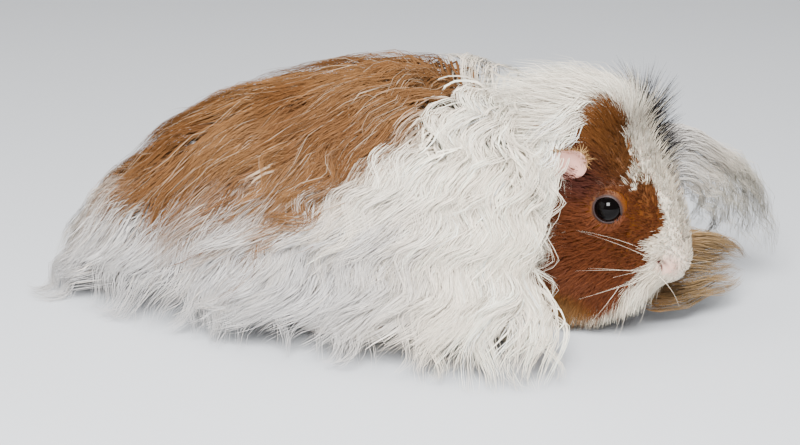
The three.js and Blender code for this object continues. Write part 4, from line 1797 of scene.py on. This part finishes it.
def material(name: str, values: dict[str, float | tuple[float, ...]]) -> bpy.types.Material:
    """A material whose shader has the given values on its sockets.

    Args:
        name: The material's name.
        values: The value of each socket.

    Returns:
        The material.
    """
    made = bpy.data.materials.new(name)
    made.use_nodes = True
    for socket, value in values.items():
        made.node_tree.nodes["Principled BSDF"].inputs[socket].default_value = value
    return made


def noise(nodes: bpy.types.Nodes, scale: float) -> bpy.types.Node:
    """Adds a noise texture.

    Args:
        nodes: The nodes that it joins.
        scale: How fine it is.

    Returns:
        The texture.
    """
    texture = nodes.new("ShaderNodeTexNoise")
    texture.inputs["Scale"].default_value = scale
    texture.inputs["Detail"].default_value = 2.0
    return texture


def streaks_group() -> bpy.types.NodeTree:
    """A node group that draws fine hairs along a tuft: its outputs are a shade and a normal.

    Returns:
        The group.
    """
    group = bpy.data.node_groups.new("hair_streaks", "ShaderNodeTree")
    group.interface.new_socket("Colour", in_out="INPUT", socket_type="NodeSocketColor")
    group.interface.new_socket("Depth", in_out="INPUT", socket_type="NodeSocketFloat").default_value = 0.3
    group.interface.new_socket("Colour", in_out="OUTPUT", socket_type="NodeSocketColor")
    group.interface.new_socket("Normal", in_out="OUTPUT", socket_type="NodeSocketVector")
    nodes, links = group.nodes, group.links
    given, out = nodes.new("NodeGroupInput"), nodes.new("NodeGroupOutput")
    where = nodes.new("ShaderNodeUVMap")
    where.uv_map = "Strand"
    stretch = nodes.new("ShaderNodeVectorMath")
    stretch.operation = "MULTIPLY"
    stretch.inputs[1].default_value = (3.0, 0.10, 0)
    grain = noise(nodes, 1.0)
    shade = nodes.new("ShaderNodeMapRange")
    for socket, value in (("From Min", 0.3), ("From Max", 0.7), ("To Min", 0.62), ("To Max", 1.12)):
        shade.inputs[socket].default_value = value
    tinted = nodes.new("ShaderNodeVectorMath")
    tinted.operation = "SCALE"
    bump = nodes.new("ShaderNodeBump")
    bump.inputs["Distance"].default_value = 0.0003
    for start, end in (
        (where.outputs["UV"], stretch.inputs[0]),
        (stretch.outputs[0], grain.inputs["Vector"]),
        (grain.outputs["Fac"], shade.inputs["Value"]),
        (given.outputs["Colour"], tinted.inputs[0]),
        (shade.outputs["Result"], tinted.inputs["Scale"]),
        (grain.outputs["Fac"], bump.inputs["Height"]),
        (given.outputs["Depth"], bump.inputs["Strength"]),
        (tinted.outputs[0], out.inputs["Colour"]),
        (bump.outputs["Normal"], out.inputs["Normal"]),
    ):
        links.new(start, end)
    return group


@dataclass(frozen=True)
class HairFinish:
    """Soft hair that takes its colour from the attribute Tint."""

    roughness: float = 0.62
    gloss: float = 0.14
    relief: float = 0.5

    def make(self) -> bpy.types.Material:
        """Makes the material.

        Returns:
            The material.
        """
        made = material("fur", {"Roughness": self.roughness, "Specular IOR Level": self.gloss})
        nodes, links = made.node_tree.nodes, made.node_tree.links
        tint = nodes.new("ShaderNodeVertexColor")
        tint.layer_name = "Tint"
        streaks = nodes.new("ShaderNodeGroup")
        streaks.node_tree = streaks_group()
        streaks.inputs["Depth"].default_value = self.relief
        links.new(tint.outputs["Color"], streaks.inputs["Colour"])
        links.new(streaks.outputs["Colour"], nodes["Principled BSDF"].inputs["Base Color"])
        links.new(streaks.outputs["Normal"], nodes["Principled BSDF"].inputs["Normal"])
        return made


@dataclass(frozen=True)
class SkinFinish:
    """Soft bare skin with fine pores."""

    pores: float = 1400.0
    roughness: float = 0.5
    gloss: float = 0.2

    def make(self) -> bpy.types.Material:
        """Makes the material.

        Returns:
            The material.
        """
        made = material("skin", {
            "Roughness": self.roughness,
            "Specular IOR Level": self.gloss,
            "Subsurface Weight": 0.15,
            "Subsurface Scale": 0.002,
            "Subsurface Radius": (1.0, 0.4, 0.25),
        })
        nodes, links = made.node_tree.nodes, made.node_tree.links
        tint = nodes.new("ShaderNodeVertexColor")
        tint.layer_name = "Tint"
        where = nodes.new("ShaderNodeTexCoord")
        pores = noise(nodes, self.pores)
        bump = nodes.new("ShaderNodeBump")
        bump.inputs["Strength"].default_value = 0.3
        bump.inputs["Distance"].default_value = 0.0002
        links.new(where.outputs["Object"], pores.inputs["Vector"])
        links.new(pores.outputs["Fac"], bump.inputs["Height"])
        links.new(bump.outputs["Normal"], nodes["Principled BSDF"].inputs["Normal"])
        links.new(tint.outputs["Color"], nodes["Principled BSDF"].inputs["Base Color"])
        return made


@dataclass(frozen=True)
class EyeFinish:
    """A dark, wet eye."""

    colour: tuple[float, float, float, float] = (0.0015, 0.001, 0.001, 1)
    wetness: float = 0.4

    def make(self) -> bpy.types.Material:
        """Makes the material.

        Returns:
            The material.
        """
        return material("eye", {
            "Base Color": self.colour,
            "Roughness": 0.06,
            "Specular IOR Level": 0.05,
            "Coat Weight": self.wetness,
            "Coat IOR": 1.25,
            "Coat Roughness": 0.02,
        })


@dataclass(frozen=True)
class HornFinish:
    """Pale horn, with a fine grain of darker and paler tone."""

    streaks: float = 500.0
    roughness: float = 0.35

    def make(self) -> bpy.types.Material:
        """Makes the material.

        Returns:
            The material.
        """
        made = material("horn", {"Roughness": self.roughness})
        nodes, links = made.node_tree.nodes, made.node_tree.links
        where = nodes.new("ShaderNodeTexCoord")
        grain = noise(nodes, self.streaks)
        ramp = nodes.new("ShaderNodeValToRGB")
        ramp.color_ramp.elements[0].color = (*(0.55 * Tone.HORN.rgb), 1)
        ramp.color_ramp.elements[1].color = (*Tone.HORN.rgb, 1)
        links.new(where.outputs["Object"], grain.inputs["Vector"])
        links.new(grain.outputs["Fac"], ramp.inputs["Fac"])
        links.new(ramp.outputs["Color"], nodes["Principled BSDF"].inputs["Base Color"])
        return made


def tell(piece: bpy.types.Object) -> None:
    """Reports a piece."""
    log.info("%s: %d faces", piece.name, len(piece.data.polygons))


def main() -> None:
    """Builds the animal and the studio, and reports each piece."""
    logging.basicConfig(level=logging.INFO, format="%(message)s")
    skin = Skin().build()
    Skin().dress(skin)
    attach(skin, "root")
    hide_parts(*[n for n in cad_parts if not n.startswith("eye")])
    tell(skin)
    wet = EyeFinish().make()
    for eye in map(Eye, Side):
        ball, name = eye.build(), eye.node
        ball.data.materials.append(wet)
        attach(ball, "root")
        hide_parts(name)
        tell(ball)
    pieces = Coat(LongCoat(COAT, BODY)).build() + HeadFur(HEAD).build()
    pieces += [(plume.build(SEED + 300 + i), plume.slot) for i, plume in enumerate(PLUMES)]
    pieces += [(Whiskers().build(), "white_fur"), (EAR.fuzz(250).mesh("ear_fuzz"), "tan_fur")]
    nails = Claws().build()
    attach(nails, "root")
    tell(nails)
    fur = HairFinish().make()
    for piece, slot in pieces:
        piece.data.materials.append(fur)
        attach(piece, "root")
        tell(piece)
    Studio().build()


if __name__ == "__main__":
    main()
